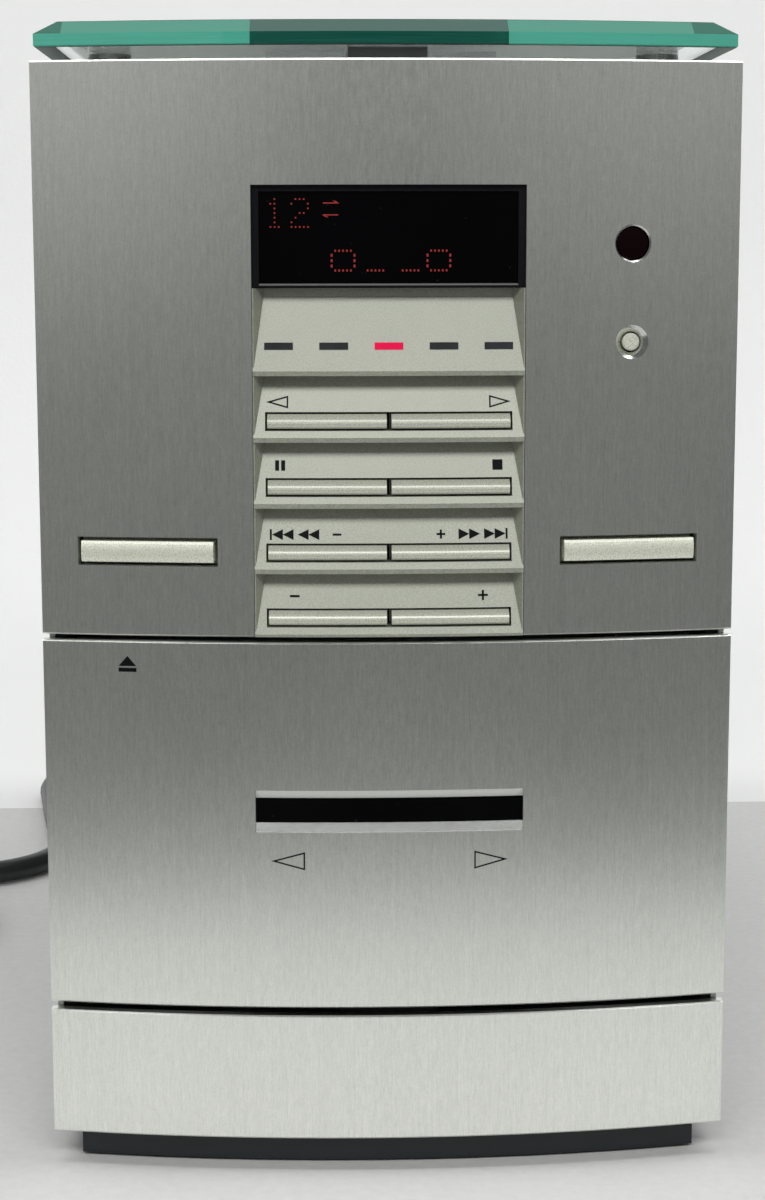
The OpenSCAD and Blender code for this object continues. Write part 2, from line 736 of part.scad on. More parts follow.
module display_window() color(BLACK) placed() {
    z0 = z_disp + 0.05;
    z1 = z_chan - FIT;
    difference() {
        bowed(-fascia_half, fascia_half, [[1, z0], [5.2, z0], [5.2, z1], [1, z1]]);
        bowed(display_rim - fascia_half, fascia_half - display_rim, [[0, z0 + 0.5], [1.6, z0 + 0.7],
            [1.6, z1 - display_rim + 0.2], [0, z1 - display_rim + 0.4]]);
    }
    mirrored()
        box(fascia_half - 1, flange_x, fy(flange_x) + panel_t + 0.05, fy(fascia_half) + 5.2, z0, z1 + 1.6);
}

module display_module() color("#2e3b37") placed() {
    x = fascia_half - 1.8;
    y0 = fascia_t + 0.8;
    box(-x, x, y0, y0 + 4.3, z_disp + 0.8, z_chan - 1.2);
    box(-32, 32, y0 + 4.3, y0 + 5.7, z_disp - 0.8, min(z_chan + 2.2, floor_z - 0.5));
    for (i = [-8:8])
        box(i * 2.4 - 0.25, i * 2.4 + 0.25, y0 + 5.7, y0 + 6.6, z_disp + 0.4, z_disp + 1);
}

// Light pipes, flush with the slanted face of the indicator row.
module indicator_lenses() color("#33373a") placed() {
    z0 = led_z - led_h / 2;
    z1 = led_z + led_h / 2;
    top = z_ind_top - z_ind;
    for (i = [-2:2])
        bowed(i * led_pitch - led_w / 2, i * led_pitch + led_w / 2,
            [[louvre_depth(z0 - z_ind, top) - FIT, z0], [fascia_t + 1.5, z0], [fascia_t + 1.5, z1],
                [louvre_depth(z1 - z_ind, top) - FIT, z1]]);
}

module control_board() color(BOARD) placed() {
    x = frame_x - 2.9;
    box(-x, x, board_y, board_y + 1.6, z_up0 + 2, mode_z + 5.5);
    box(key_x - 8, x - 3, board_y, board_y + 1.6, mode_z + 5, remote_z + 6);
    for (i = ROWS, s = [-1, 1])
        tact_switch(s * (bar_w / 2 + 0.5), bar_z(i));
    for (s = [-1, 1])
        tact_switch(s * key_x, key_z);
    tact_switch(key_x, mode_z);
    box(key_x - 3.5, key_x + 3.5, board_y - 4.5, board_y, remote_z - 4, remote_z + 4);
    box(-40, -14, board_y + 1.6, board_y + 3.4, z_up0 + 24, z_up0 + 38);
    for (x = [-30, 20])
        box(x, x + 16, board_y + 1.6, board_y + 7, z_up0 + 4, z_up0 + 9);
    for (x = [4, 16, 28])
        rod_y(board_y + 1.6, board_y + 9, x, z_up0 + 44, 3);
    for (i = [-2:2])
        box(i * led_pitch - 1.2, i * led_pitch + 1.2, board_y - 2.5, board_y, led_z - 1, led_z + 1);
}

module tact_switch(x, z) {
    box(x - 3, x + 3, board_y - 3.4, board_y, z - 2, z + 2);
    rod_y(switch_y, board_y - 3.2, x, z, 1.7);
}

// TAPE SIDE

module cassette_panel() color(SILVER) placed() difference() {
    front_plate(z_door0, z_door1);
    low = slot_z - slot_h / 2;
    top = slot_z + slot_h / 2;
    bowed(-slot_w / 2, slot_w / 2, [[-1, low - slot_flare_low], [0, low - slot_flare_low],
        [slot_flare_deep, low], [panel_t + 1, low], [panel_t + 1, top], [slot_flare_deep, top],
        [0, top + slot_flare_high], [-1, top + slot_flare_high]]);
}

module cassette_window() color(BLACK) placed() {
    low = slot_z - slot_h / 2;
    top = slot_z + slot_h / 2;
    bowed_slab(-slot_w / 2 - 2.4, slot_w / 2 + 2.4, frame_in, frame_in + 1.4, low - 3, top + 3);
    bowed_slab(FIT - slot_w / 2, slot_w / 2 - FIT, slot_flare_deep + FIT, frame_in + 0.7, low + FIT,
        top - FIT);
}

// Pocket that carries the door plate, its hinge knuckle, the damper's gear arm and the latch hook.
module cassette_holder() color(BLACK) placed() {
    difference() {
        union() {
            box(-holder_x, holder_x, wall_y, pocket_y0, holder_z0, holder_z1);
            mirrored() {
                box(pocket_x, holder_x, wall_y, holder_y, holder_z0, holder_z1);
                box(pocket_x - 6, holder_x, pocket_y1, holder_y, holder_z0 + 6, holder_z1);
                box(cap_x + 9, holder_x, wall_y, holder_y, holder_z0, holder_z0 + 1.3);
            }
            for (z = [holder_z0 + 3, slot_z - 12, slot_z + 10, holder_z1 - 5])
                intersection() {
                    behind_front(frame_in, z, z + 2);
                    box(-holder_x, holder_x, 0, wall_y + EPS, z, z + 2);
                }
            rod_x(-knuckle_x, knuckle_x, hinge_y, hinge_z, knuckle_r);
            along_x(-knuckle_x, knuckle_x)
                polygon([[hinge_y + 0.4, hinge_z], [hinge_y + knuckle_r, hinge_z],
                    [pocket_y0, holder_z0 + 1], [pocket_y0, holder_z0 + 3], [wall_y, holder_z0 + 3],
                    [wall_y, holder_z0 + 1]]);
            gear_arm();
            box(holder_x - EPS, arm_x0 + EPS, wall_y, holder_y, holder_z0 + 8, holder_z0 + 18);
            along_x(-pocket_x + 2, -pocket_x + 6)
                polygon([[pocket_y1, holder_z1 - 6], [deck_y + deck_t + 4, holder_z1 - 6],
                    [deck_y + deck_t + 4, holder_z1 - 3], [deck_y + deck_t + 2, holder_z1 - 3],
                    [deck_y + deck_t + 2, holder_z1 - 4.5], [pocket_y1, holder_z1 - 4.5]]);
        }
        box(-slot_w / 2 - 1.5, slot_w / 2 + 1.5, 0, pocket_y0 + 1, slot_z - 9, slot_z + 9);
        rod_x(-knuckle_x - 1, knuckle_x + 1, hinge_y, hinge_z, hinge_d / 2 + BORE);
    }
}

// The part of a gear ring round the door's hinge that drives the damper.
module gear_arm() {
    step = 360 / arm_teeth;
    r0 = arm_rp - damper_module * DEDENDUM;
    n = 9;
    a0 = damper_at - (n - 1.5) * step;
    a1 = 76;
    translate([arm_x0, hinge_y, hinge_z]) rotate([90, 0, 90]) linear_extrude(arm_x1 - arm_x0) union() {
        polygon(concat([for (i = [0:n - 1]) each tooth(damper_module, arm_teeth, a0 + i * step)],
            [for (i = [0:8]) polar(r0, a0 + (n - 0.5) * step + (a1 - a0 - (n - 0.5) * step) * i / 8)],
            [for (i = [12:-1:0]) polar(r0 - 7, a0 - 1 + (a1 - a0 + 1) * i / 12)]));
        translate([wall_y - hinge_y, holder_z0 - hinge_z + 8]) square([holder_y - wall_y, 10]);
    }
}

module hinge_pin() color(STEEL) placed()
    rod_x(-knuckle_x - RUN - lug_w, knuckle_x + RUN + lug_w, hinge_y, hinge_z, hinge_d / 2);

module damper_gear() color("#d8d4c4") placed()
    translate([arm_x0, damper_y, damper_z]) rotate([90, 0, 90])
        gear(damper_module, damper_teeth, arm_x1 - arm_x0, damper_at + 180, 1 + BORE);

// Mechanism plate, rear bracket, spacers, damper body and latch.
module tape_deck_frame() color(STEEL) placed() {
    z0 = cap_z - 9;
    z1 = holder_z1 + 0.5;
    y1 = deck_y + deck_t;
    px = pocket_x - 1.4;
    difference() {
        union() {
            box(-px, px, deck_y, y1, z0, z1);
            box(-frame_x + 2.2, frame_x - 2.2, deck_y, y1, reel_z - 8, reel_z + 8);
            for (s = [-1, 1])
                rod_y(deck_y - 1, y1 + 3, s * cap_x, cap_z, 3);
            for (s = [-1, 1])
                rod_y(y1 - EPS, y1 + 2.5, s * reel_x, reel_z, 2.6);
        }
        for (s = [-1, 1]) {
            rod_y(0, 60, s * cap_x, cap_z, 1 + BORE);
            rod_y(0, 60, s * reel_x, reel_z, 1.2 + BORE);
        }
        box(-pocket_x, -pocket_x + 8, deck_y - 1, y1 + 1, holder_z1 - 8, z1 + 1);
        box(-10, 10, deck_y - 1, y1 + 1, z0 - 1, z0 + 12);
    }
    difference() {
        box(-46, 46, bracket_y, bracket_y + bracket_t, cap_z - 8, pulley_z + 16);
        for (s = [-1, 1])
            rod_y(bracket_y - 1, bracket_y + 2, s * cap_x, cap_z, 1 + BORE);
        rod_y(bracket_y - 1, bracket_y + 2, 0, pulley_z, 3.2);
        mirrored() box(12, 36, bracket_y - 1, bracket_y + 2, reel_z - 8, reel_z + 6);
    }
    for (p = [[-42, holder_z1 - 14], [42, holder_z1 - 14], [-10, cap_z - 5], [10, cap_z + 3.5]])
        rod_y(y1, bracket_y, p[0], p[1], 2.2);
    box(44, arm_x0 - 0.4, bracket_y - 1.2, bracket_y, damper_z - 4, damper_z + 4);
    box(arm_x0 - 3.4, arm_x0 - 0.4, damper_y, bracket_y, damper_z - 4, damper_z + 4);
    rod_x(arm_x0 - 3.4, arm_x0 - 0.4, damper_y, damper_z, 5.6);
    rod_x(arm_x0 - 0.6, arm_x1 + 0.4, damper_y, damper_z, 1);
    difference() {
        box(-pocket_x + 0.5, -pocket_x + 9, y1, y1 + 12, holder_z1 - 12, holder_z1 + 0.5);
        box(-pocket_x - 1, -pocket_x + 7.5, y1 - 1, y1 + 7, holder_z1 - 8, holder_z1 + 2);
    }
}

// Hub that a cassette's reel drops on: three splines, a flange and a shaft.
module reel_spindle(s) {
    tip = pocket_y0 + 2.5;
    seat = deck_y - 0.3;
    color("#e4e2da") placed() translate([s * reel_x, 0, reel_z]) rotate([-90, 0, 0]) {
        rotate_extrude()
            polygon([[0, tip], [1.2, tip], [2.7, tip + 2], [2.7, seat - 1.8], [8, seat - 1.8], [8, seat],
                [1.2, seat], [1.2, seat + 5.4], [0, seat + 5.4]]);
        for (a = [0, 120, 240])
            rotate(a) translate([1.5, -0.6, tip + 2.6]) cube([2.6, 1.2, 6.4]);
    }
}

module supply_spindle() reel_spindle(-1);
module takeup_spindle() reel_spindle(1);

// Capstan shaft with its flywheel: a belt groove in the rim and a dished face.
module flywheel(s) {
    r = flywheel_d / 2;
    color(STEEL) placed() translate([s * cap_x, 0, cap_z]) rotate([-90, 0, 0]) {
        translate([0, 0, pocket_y0 + 2]) cylinder(r = 1, h = bracket_y + 0.8 - pocket_y0 - 2);
        translate([0, 0, wheel_y]) rotate_extrude()
            polygon([[0.5, 0], [r, 0], [r, 1], [r - 0.9, 1.6], [r - 0.9, wheel_t - 1.6], [r, wheel_t - 1],
                [r, wheel_t], [r - 3, wheel_t], [r - 4, wheel_t - 1.6], [5, wheel_t - 1.6],
                [4, wheel_t + 0.6], [0.5, wheel_t + 0.6]]);
    }
}

module left_flywheel() flywheel(-1);
module right_flywheel() flywheel(1);

module capstan_motor() color(STEEL) placed() translate([0, 0, pulley_z]) rotate([-90, 0, 0]) {
    y0 = bracket_y + bracket_t;
    translate([0, 0, y0]) rotate_extrude()
        polygon([[0, 0], [14, 0], [14, 20], [13, 21], [5, 21], [5, 22.5], [0, 22.5]]);
    translate([0, 0, bracket_y - 0.6]) cylinder(r = 3, h = 2.4);
    translate([0, 0, wheel_y - 0.6]) cylinder(r = 1, h = y0 - wheel_y + 1);
}

module motor_pulley() color(BRASS) placed() translate([0, wheel_y, pulley_z]) rotate([-90, 0, 0])
    rotate_extrude() {
        r = pulley_d / 2;
        polygon([[1 + BORE, 0], [r + 0.8, 0], [r + 0.8, 0.8], [r, 1.6], [r, wheel_t - 1.6],
            [r + 0.8, wheel_t - 0.8], [r + 0.8, wheel_t], [1 + BORE, wheel_t]]);
    }

// Flat belt round both flywheels and the motor pulley.
module capstan_belt() color(RUBBER) placed() along_y(wheel_y + 1.8, wheel_y + wheel_t - 1.8) difference() {
    belt_line(RUN + 0.7);
    belt_line(RUN);
}

module belt_line(out) {
    hull() {
        for (s = [-1, 1])
            translate([s * cap_x, cap_z]) circle(r = flywheel_d / 2 - 0.9 + out);
        translate([0, pulley_z]) circle(r = pulley_d / 2 + out);
    }
}

// Sliding plate with the tape head between two pinch rollers.
module head_carriage() color(STEEL) placed() {
    roll_r = 5.6;
    roll_z = cap_z - 1 - roll_r - head_lift - 0.5;
    y1 = deck_y - 0.3;
    difference() {
        union() {
            box(-cap_x - 4, cap_x + 4, y1 - 1.2, y1, roll_z - 5, roll_z + 3);
            box(-8, 8, y1 - 1.2, y1, roll_z - 5, roll_z + 8);
        }
        for (s = [-1, 1])
            box(s * 15 - 1.5, s * 15 + 1.5, 0, 40, roll_z - 3, roll_z + 1);
    }
    difference() {
        box(-6, 6, y1 - 11, y1 - 1.2, roll_z - 2, roll_z + 8);
        rod_x(-7, 7, y1 - 6, roll_z + 11.2, 4);
    }
    for (s = [-1, 1]) {
        rod_y(y1 - 11, y1 - 1, s * cap_x, roll_z, 1);
        rod_y(y1 - 10.4, y1 - 2, s * cap_x, roll_z, roll_r);
    }
}

// DISC SIDE

// Deck with the disc well, a lens slot in its floor, suspension posts and the lid rod's lug.
module disc_deck() color("#b4b7b3") placed() difference() {
    union() {
        intersection() {
            behind_front(frame_in, z_deck - 2, z_deck);
            box(-frame_x, frame_x, 0, deck_back, z_deck - 2, z_deck);
        }
        intersection() {
            rod_z(floor_z, z_deck - 1, 0, disc_y, well_r + 1.4);
            behind_front(frame_in + 0.3, floor_z - 1, z_deck);
            box(-frame_x, frame_x, 0, deck_back, floor_z - 1, z_deck);
        }
        for (b = BUSHES)
            rod_z(plate_z - 2.5, floor_z + EPS, b[0], disc_y + b[1], 2);
        box(-6, 6, deck_back - 3.4, deck_back, lid_rod_z - 5, z_deck - 1);
    }
    rod_z(well_z, z_deck + 1, 0, disc_y, well_r);
    rod_z(floor_z - 1, z_deck, 0, disc_y, turntable_d / 2 + 2);
    box(-9, 9, disc_y, disc_y + 59, floor_z - 1, z_deck);
    rod_y(deck_back - 4, deck_back + 1, 0, lid_rod_z, lid_rod_r + 0.02);
}

module pickup_chassis() color(STEEL) placed() {
    t = 1.5;
    y0 = disc_y - 31;
    difference() {
        union() {
            box(-44, 44, y0, disc_y + 47, plate_z, plate_z + t);
            box(-27, 27, disc_y + 40, lens_y + pickup_travel + pick_half + 3.6, plate_z, plate_z + t);
            mirrored() for (y = [lens_y - pick_half - 3.6, lens_y + pickup_travel + pick_half + 0.6])
                box(rod_x - 3, rod_x + 2.6, y, y + 3, plate_z, rod_z + 3);
        }
        box(-14, 14, disc_y + 15, lens_y + pickup_travel + 4, plate_z - 1, plate_z + t + 1);
        rod_z(plate_z - 1, plate_z + t + 1, 0, disc_y, 3);
        rod_z(plate_z - 1, plate_z + t + 1, sled_x, sled_y, 2);
        for (b = BUSHES)
            rod_z(plate_z - 1, plate_z + t + 1, b[0], disc_y + b[1], 2.6);
        mirrored() rod_y(disc_y, disc_y + 90, rod_x, rod_z, 1.5 + 0.02);
    }
}

// Waisted rubber bushes between the deck and the pickup chassis.
module suspension_bushes() color(RUBBER) placed() for (b = BUSHES)
    translate([b[0], disc_y + b[1], plate_z + 1.5]) rotate_extrude()
        polygon([[2 + FIT, 0], [5, 0], [5, 2], [3.6, 3.6], [3.6, floor_z - plate_z - 5],
            [5, floor_z - plate_z - 3.4], [5, floor_z - plate_z - 1.5], [2 + FIT, floor_z - plate_z - 1.5]]);

module disc_motors() color(STEEL) placed() {
    rod_z(plate_z - 9, plate_z, 0, disc_y, 12);
    rod_z(plate_z - 1, well_z + 1, 0, disc_y, 1);
    rod_z(plate_z - 14, plate_z, sled_x, sled_y, 7.5);
    rod_z(plate_z - 1, plate_z + 6, sled_x, sled_y, 0.8);
}

// Turntable with a self-holding hub: three sprung balls grip the disc's bore.
module turntable() color(BLACK) placed() translate([0, disc_y, well_z]) {
    rotate_extrude() polygon([[1 + BORE, 0.4], [turntable_d / 2, 0.4], [turntable_d / 2, 2], [hub_d / 2, 2],
        [hub_d / 2, 3.6], [hub_d / 2 - 2.6, 5.6], [0, 5.6], [0, 2.4], [1 + BORE, 2.4]]);
    for (a = [30, 150, 270])
        rotate(a) translate([hub_d / 2 - 1, 0, 3.2]) sphere(r = 1.2);
}

// Lens sled on two rods, with the drive rack on its right.
module optical_pickup() color("#33383c") placed() {
    z0 = rod_z - 3;
    z1 = rod_z + 3;
    difference() {
        union() {
            box(-rod_x - 3.6, rod_x + 3.6, lens_y - pick_half, lens_y + pick_half, z0, z1);
            rod_z(z1 - EPS, z1 + 2, 0, lens_y, 6);
            rod_z(z1 + 2 - EPS, z1 + 3, 0, lens_y, 2.6);
        }
        rod_y(0, 200, -rod_x, rod_z, 1.5 + BORE);
        box(rod_x - 1.5 - BORE, rod_x + 1.5 + BORE, lens_y - 20, lens_y + 20, rod_z - 1.5 - BORE, z1 + 1);
    }
    translate([sled_pitch_x, 0, plate_z + 2.4]) mirror([1, 0, 0])
        rack(sled_module, sled_y - pickup_travel - 5, sled_y + 5, sled_y, 2.6, 2.2);
}

module guide_rods() color(STEEL) placed() {
    y0 = lens_y - pick_half - 3.6;
    mirrored() rod_y(y0, lens_y + pickup_travel + pick_half + 3.6, rod_x, rod_z, 1.5);
    rod_y(deck_back - 3.4, rear_in - 2.5, 0, lid_rod_z, lid_rod_r);
}

module sled_gear() color("#d8d4c4") placed() translate([sled_x, sled_y, plate_z + 2])
    gear(sled_module, sled_teeth, 3, 180, 0.8 + BORE);

// LID

// Glass with a bowed front edge and a wide bevel all round, over a level band with its lower edge broken.
module glass_lid() color(GLASS) placed() {
    x = glass_w / 2;
    r = bow_r - lid_y;
    top = z_glass + glass_t;
    low = z_glass + glass_arris;
    band = low + glass_band;
    c = glass_arris;
    intersection() {
        translate([0, bow_r, 0]) rotate_extrude($fn = BIG_FN)
            polygon([[0, z_glass], [r - c, z_glass], [r, low], [r, band], [r - bevel_top_in, top],
                [0, top]]);
        along_y(-2, lid_back + 2)
            polygon([[c - x, z_glass], [-x, low], [-x, band], [bevel_top_in - x, top],
                [x - bevel_top_in, top], [x, band], [x, low], [x - c, z_glass]]);
        along_x(-hw, hw)
            polygon([[-2, z_glass], [lid_back - c, z_glass], [lid_back, low], [lid_back, band],
                [lid_back - bevel_top_in, top], [-2, top]]);
    }
}

module lid_pads() color("#6d7370") placed() mirrored() for (y = [pad_y, lid_back - 12])
    translate([51.2, y, z_deck + RUN]) rotate_extrude()
        cap_profile(pad_d / 2, 0.5, lid_gap - RUN);

// Plate bonded under the glass, with a post down to a bush on the rod, a cross arm and the drive rack.
module lid_slide() color("#4a4d50") placed() {
    z0 = z_glass - slide_t;
    difference() {
        union() {
            box(-tongue_w / 2, tongue_w / 2, lid_y + 4, disc_y - 20, z0, z_glass);
            box(-slide_w / 2, slide_w / 2, disc_y - 22, lid_back - 5, z0, z_glass);
            box(-3.4, 3.4, post_y0, post_y1, lid_rod_z, z0 + EPS);
            rod_y(post_y0, post_y1, 0, lid_rod_z, lid_rod_r + 2.4);
            box(0, rack_x1, post_y0, post_y1, cross_z0, cross_z1);
            box(rack_x0, rack_x1, post_y0, post_y1, rack_z0, cross_z1);
        }
        rod_y(post_y0 - 1, post_y1 + 1, 0, lid_rod_z, lid_rod_r + BORE);
    }
    translate([lid_pitch_x, 0, rack_z0])
        rack(lid_module, pinion_y - lid_travel - 6, post_y1, pinion_y, rack_x1 - lid_pitch_x,
            rack_z1 - rack_z0);
}

module lid_pinion() color("#d8d4c4") placed() translate([pinion_x, pinion_y, rack_z0 - 0.8])
    gear(lid_module, lid_teeth, rack_z1 - rack_z0 + 1.4, 0, 1.25 + BORE);

module lid_motor() color(STEEL) placed() translate([pinion_x, pinion_y, 0]) {
    translate([0, 0, shelf_z]) rotate_extrude()
        polygon([[0, 0], [10, 0], [11, 1], [11, 22], [12, 22], [12, rack_z0 - shelf_z - 3],
            [3, rack_z0 - shelf_z - 3], [3, rack_z0 - shelf_z - 1.4], [1.25, rack_z0 - shelf_z - 1.4],
            [1.25, rack_z1 - shelf_z + 0.8], [0, rack_z1 - shelf_z + 0.8]]);
}

// POWER AND REAR

module main_board() color(BOARD) placed() {
    z = z_low0 + 14;
    y0 = deck_back - 64;
    box(-50, 50, y0, deck_back + 50, z, z + 1.6);
    for (x = [-45, 45], y = [y0 + 6, deck_back + 44])
        rod_z(z_low0 + 1.2, z, x, y, 3);
    for (i = [0:3])
        rod_z(z + 1.6, z + 24, 34 - i * 15, deck_back + 30, 6);
    for (i = [0:2])
        box(-42 + i * 28, -24 + i * 28, y0 + 30, y0 + 44, z + 1.6, z + 4.4);
    for (i = [0:4])
        box(-44 + i * 18, -32 + i * 18, y0 + 4, y0 + 9, z + 1.6, z + 9);
    box(-46, -26, deck_back - 6, deck_back + 16, z + 1.6, z + 20);
}

// Laminated core with its winding and fixing bracket.
module power_transformer() color("#5a5f62") placed() {
    x0 = -50;
    y0 = rear_in - 62;
    z0 = z_low0 + 1.2;
    box(x0 - 3, x0 + 57, y0 + 2, y0 + 50, z0, z0 + 1.5);
    difference() {
        box(x0, x0 + 54, y0 + 14, y0 + 38, z0 + 1.5, z0 + 46.5);
        mirror_pair(x0 + 27, 9.5) box(0, 8.5, y0, y0 + 60, z0 + 10.5, z0 + 37.5);
    }
    difference() {
        box(x0 + 10, x0 + 44, y0 + 5, y0 + 47, z0 + 11, z0 + 37);
        box(x0 + 17.4, x0 + 36.6, y0 + 14, y0 + 38, z0 + 5, z0 + 43);
        for (x = [x0 + 5, x0 + 44.5])
            box(x, x + 4.5, y0 + 14, y0 + 38, z0 + 5, z0 + 43);
    }
}

module mirror_pair(x, gap) {
    translate([x + gap, 0, 0]) children();
    translate([x - gap, 0, 0]) mirror([1, 0, 0]) children();
}

// Finned extrusion bolted to the rear panel behind the vents.
module heat_sink() color("#3a3e41") placed() {
    y0 = rear_in - 34;
    box(12, 52, rear_in - 5, rear_in, 60, 136);
    for (i = [0:7])
        box(13 + i * 5.2, 14.8 + i * 5.2, y0, rear_in - 4.5, 60, 136);
}

module rear_terminals() color(BLACK) placed() {
    for (set = [PHONO, SPEAKER])
        terminal_block(set);
    difference() {
        union() {
            box(AERIAL[0] - 10, AERIAL[0] + 10, case_depth, case_depth + 1.6,
                AERIAL[1] - 12, AERIAL[1] + 12);
            rod_y(rear_in - 8, case_depth + socket_reach, AERIAL[0], AERIAL[1], 4.7);
        }
        rod_y(case_depth - 4, case_depth + socket_reach + 1, AERIAL[0], AERIAL[1], 1.4);
    }
}

// Four sockets on a backing plate, reaching through the rear panel.
module terminal_block(set) {
    xs = [for (p = set) p[0]];
    zs = [for (p = set) p[1]];
    difference() {
        union() {
            box(min(xs) - 8, max(xs) + 8, case_depth, case_depth + 1.6, min(zs) - 8, max(zs) + 8);
            for (p = set)
                rod_y(rear_in - 8, case_depth + socket_reach, p[0], p[1], 4.1);
        }
        for (p = set)
            rod_y(case_depth - 4, case_depth + socket_reach + 1, p[0], p[1], 1.6);
    }
}

module case_screws() color(STEEL) placed() {
    for (x = [-1, 1], z = [z_low0 + 10, z_low0 + 100, z_deck - 8])
        translate([x * (case_x - 5), case_depth, z]) rotate([-90, 0, 0]) screw_head(2.6);
    for (x = [-20, 20])
        translate([x, case_depth, z_low0 + 10]) rotate([-90, 0, 0]) screw_head(2.6);
}

// Points on an arc: centre, radius, from and to in degrees.
function arc(c, r, a0, a1, n) = [for (i = [1:n]) let (a = a0 + (a1 - a0) * i / n) c + polar(r, a)];
function on_line(p, d, n) = [for (i = [1:n]) p + d * i / n];
function last_of(list) = list[len(list) - 1];

// Plan of the lead: out of the relief, round to the side of the case, forward, and out to the coil.
TURN_BACK = 189;
LEAD_OUT = [[-cord_exit_x, cord_y - relief_l / 4], [-cord_exit_x, cord_y - 3], [-cord_exit_x, cord_y]];
BACK_BEND = arc([-cord_exit_x - cord_bend, cord_y], cord_bend, 0, TURN_BACK, 14);
SIDE_RUN = on_line(last_of(BACK_BEND), 68 * [-sin(TURN_BACK), cos(TURN_BACK)], 4);
SIDE_BEND = arc(last_of(SIDE_RUN) - polar(cord_bend, TURN_BACK - 180), cord_bend, TURN_BACK - 180, -90, 8);
COIL_RUN = on_line(last_of(SIDE_BEND), [-32, 0], 4);
PLAN = concat(LEAD_OUT, BACK_BEND, SIDE_RUN, SIDE_BEND, COIL_RUN);
COIL_MID = last_of(PLAN) - [0, coil_r];

// Height of the lead at a point of the plan: it drops in the first bend and rises on to the coil's tie.
function ease(t) = (1 - cos(180 * max(0, min(1, t)))) / 2;
function lead_z(i) = cord_exit_z + (cord_z - cord_exit_z) * ease((i - len(LEAD_OUT) + 1) / len(BACK_BEND))
    + (coil_z - cord_z) * ease((i - len(PLAN) + 1 + len(COIL_RUN)) / len(COIL_RUN));
LEAD = [for (i = [0:len(PLAN) - 1]) [PLAN[i][0], PLAN[i][1], lead_z(i)]];

// The coil winds inward on the table, climbs one layer and winds outward; its tail goes down to the plug.
function coil_radius(u) = coil_in + coil_pitch * abs(coil_turns + 0.25 - u);
function coil_point(u) = let (p = COIL_MID + polar(coil_radius(u), 90 + 360 * u))
    [p[0], p[1], coil_z + coil_pitch * ease((u - coil_turns) * 4)];
COIL_END = coil_point(coil_end);
COIL = concat([for (i = [0:coil_end * RINGS]) coil_point(i / RINGS)],
    [for (i = [1:8]) COIL_END + [0, -tail_l * i / 8, (plug_z - COIL_END[2]) * ease(i / 8)]]);
COIL_GAP = min([for (i = [0:len(COIL) - RINGS], j = [i + RINGS / 2:len(COIL) - 1])
    norm(COIL[i] - COIL[j])]) - cord_d;
echo(str("Least gap between the coil's turns: ", COIL_GAP, " mm"));

function unit(v) = v / norm(v);

// Tube along a line of points, of triangles.
module tube(path, d) {
    n = len(path);
    s = TUBE_SIDES;
    points = [for (i = [0:n - 1]) let (t = unit(path[min(i + 1, n - 1)] - path[max(i - 1, 0)]),
        side = unit(cross(t, [0, 0, 1])), up = cross(side, t))
        for (k = [0:s - 1]) path[i] + d / 2 * (cos(360 * k / s) * side + sin(360 * k / s) * up)];
    walls = [for (i = [0:n - 2], k = [0:s - 1]) let (a = s * i + k, b = s * i + (k + 1) % s)
        each [[a, b, b + s], [a, b + s, a + s]]];
    ends = [for (k = [1:s - 2]) each [[0, k + 1, k], [s * (n - 1), s * (n - 1) + k, s * (n - 1) + k + 1]]];
    polyhedron(points, concat(walls, ends));
}

// Lead from its strain relief to the coil.
module mains_cord() color(RUBBER) placed() {
    r = relief_neck;
    bore = cord_d / 2 + 2 * FIT;
    translate([-cord_exit_x, case_depth, cord_exit_z]) rotate([-90, 0, 0]) rotate_extrude()
        polygon([[0, rear_in - case_depth], [r, rear_in - case_depth], [r, 0], [r + 2, 0], [r + 2, 2],
            [r + 1, 2], [r, relief_l], [bore, relief_l], [bore, relief_l * 0.65], [0, relief_l * 0.65]]);
    tube(LEAD, cord_d);
}

module cord_coil() color(RUBBER) placed() {
    far = coil_r - coil_pitch / 2 + cord_d / 2 + 0.5;
    near = coil_r - coil_pitch * coil_turns - cord_d / 2 - 1.1;
    top = coil_z + coil_pitch + cord_d / 2 + 0.3;
    tube(COIL, cord_d);
    translate([COIL_MID[0], COIL_MID[1], 0]) along_x(-5, 5) difference() {
        translate([-far - tie_t, TABLE_GAP]) square([far - near + 2 * tie_t, top + tie_t - TABLE_GAP]);
        translate([-far, TABLE_GAP + tie_t]) square([far - near, top - TABLE_GAP - tie_t]);
    }
}

// Flat two-pin plug beside the coil.
module mains_plug() color(BLACK) placed() translate([last_of(COIL)[0], last_of(COIL)[1], plug_z]) {
    difference() {
        translate([0, 0, -plug_h / 2]) linear_extrude(plug_h)
            polygon([[-6, 6], [6, 6], [7, -8], [13, -22], [13, -34], [-13, -34], [-13, -22], [-7, -8]]);
        rod_y(-1, 7, 0, 0, cord_d / 2 + 2 * FIT);
    }
    mirrored() rod_y(-34 - pin_l, -33, 9.3, 0, 2);
}

base_plinth();
rubber_feet();
chassis_tray();
cabinet_cover();
rear_panel();
front_frame();
upper_front_panel();
lower_front_panel();
control_fascia();
display_window();
display_module();
indicator_lenses();
remote_window();
control_board();
power_button();
function_button();
sound_mode_button();
reverse_play_button();
forward_play_button();
pause_button();
stop_button();
skip_back_button();
skip_forward_button();
volume_down_button();
volume_up_button();
cassette_panel();
cassette_window();
cassette_holder();
hinge_pin();
damper_gear();
tape_deck_frame();
supply_spindle();
takeup_spindle();
left_flywheel();
right_flywheel();
capstan_motor();
motor_pulley();
capstan_belt();
head_carriage();
disc_deck();
pickup_chassis();
suspension_bushes();
disc_motors();
turntable();
optical_pickup();
guide_rods();
sled_gear();
glass_lid();
lid_pads();
lid_slide();
lid_motor();
lid_pinion();
main_board();
power_transformer();
heat_sink();
rear_terminals();
case_screws();
mains_cord();
cord_coil();
mains_plug();
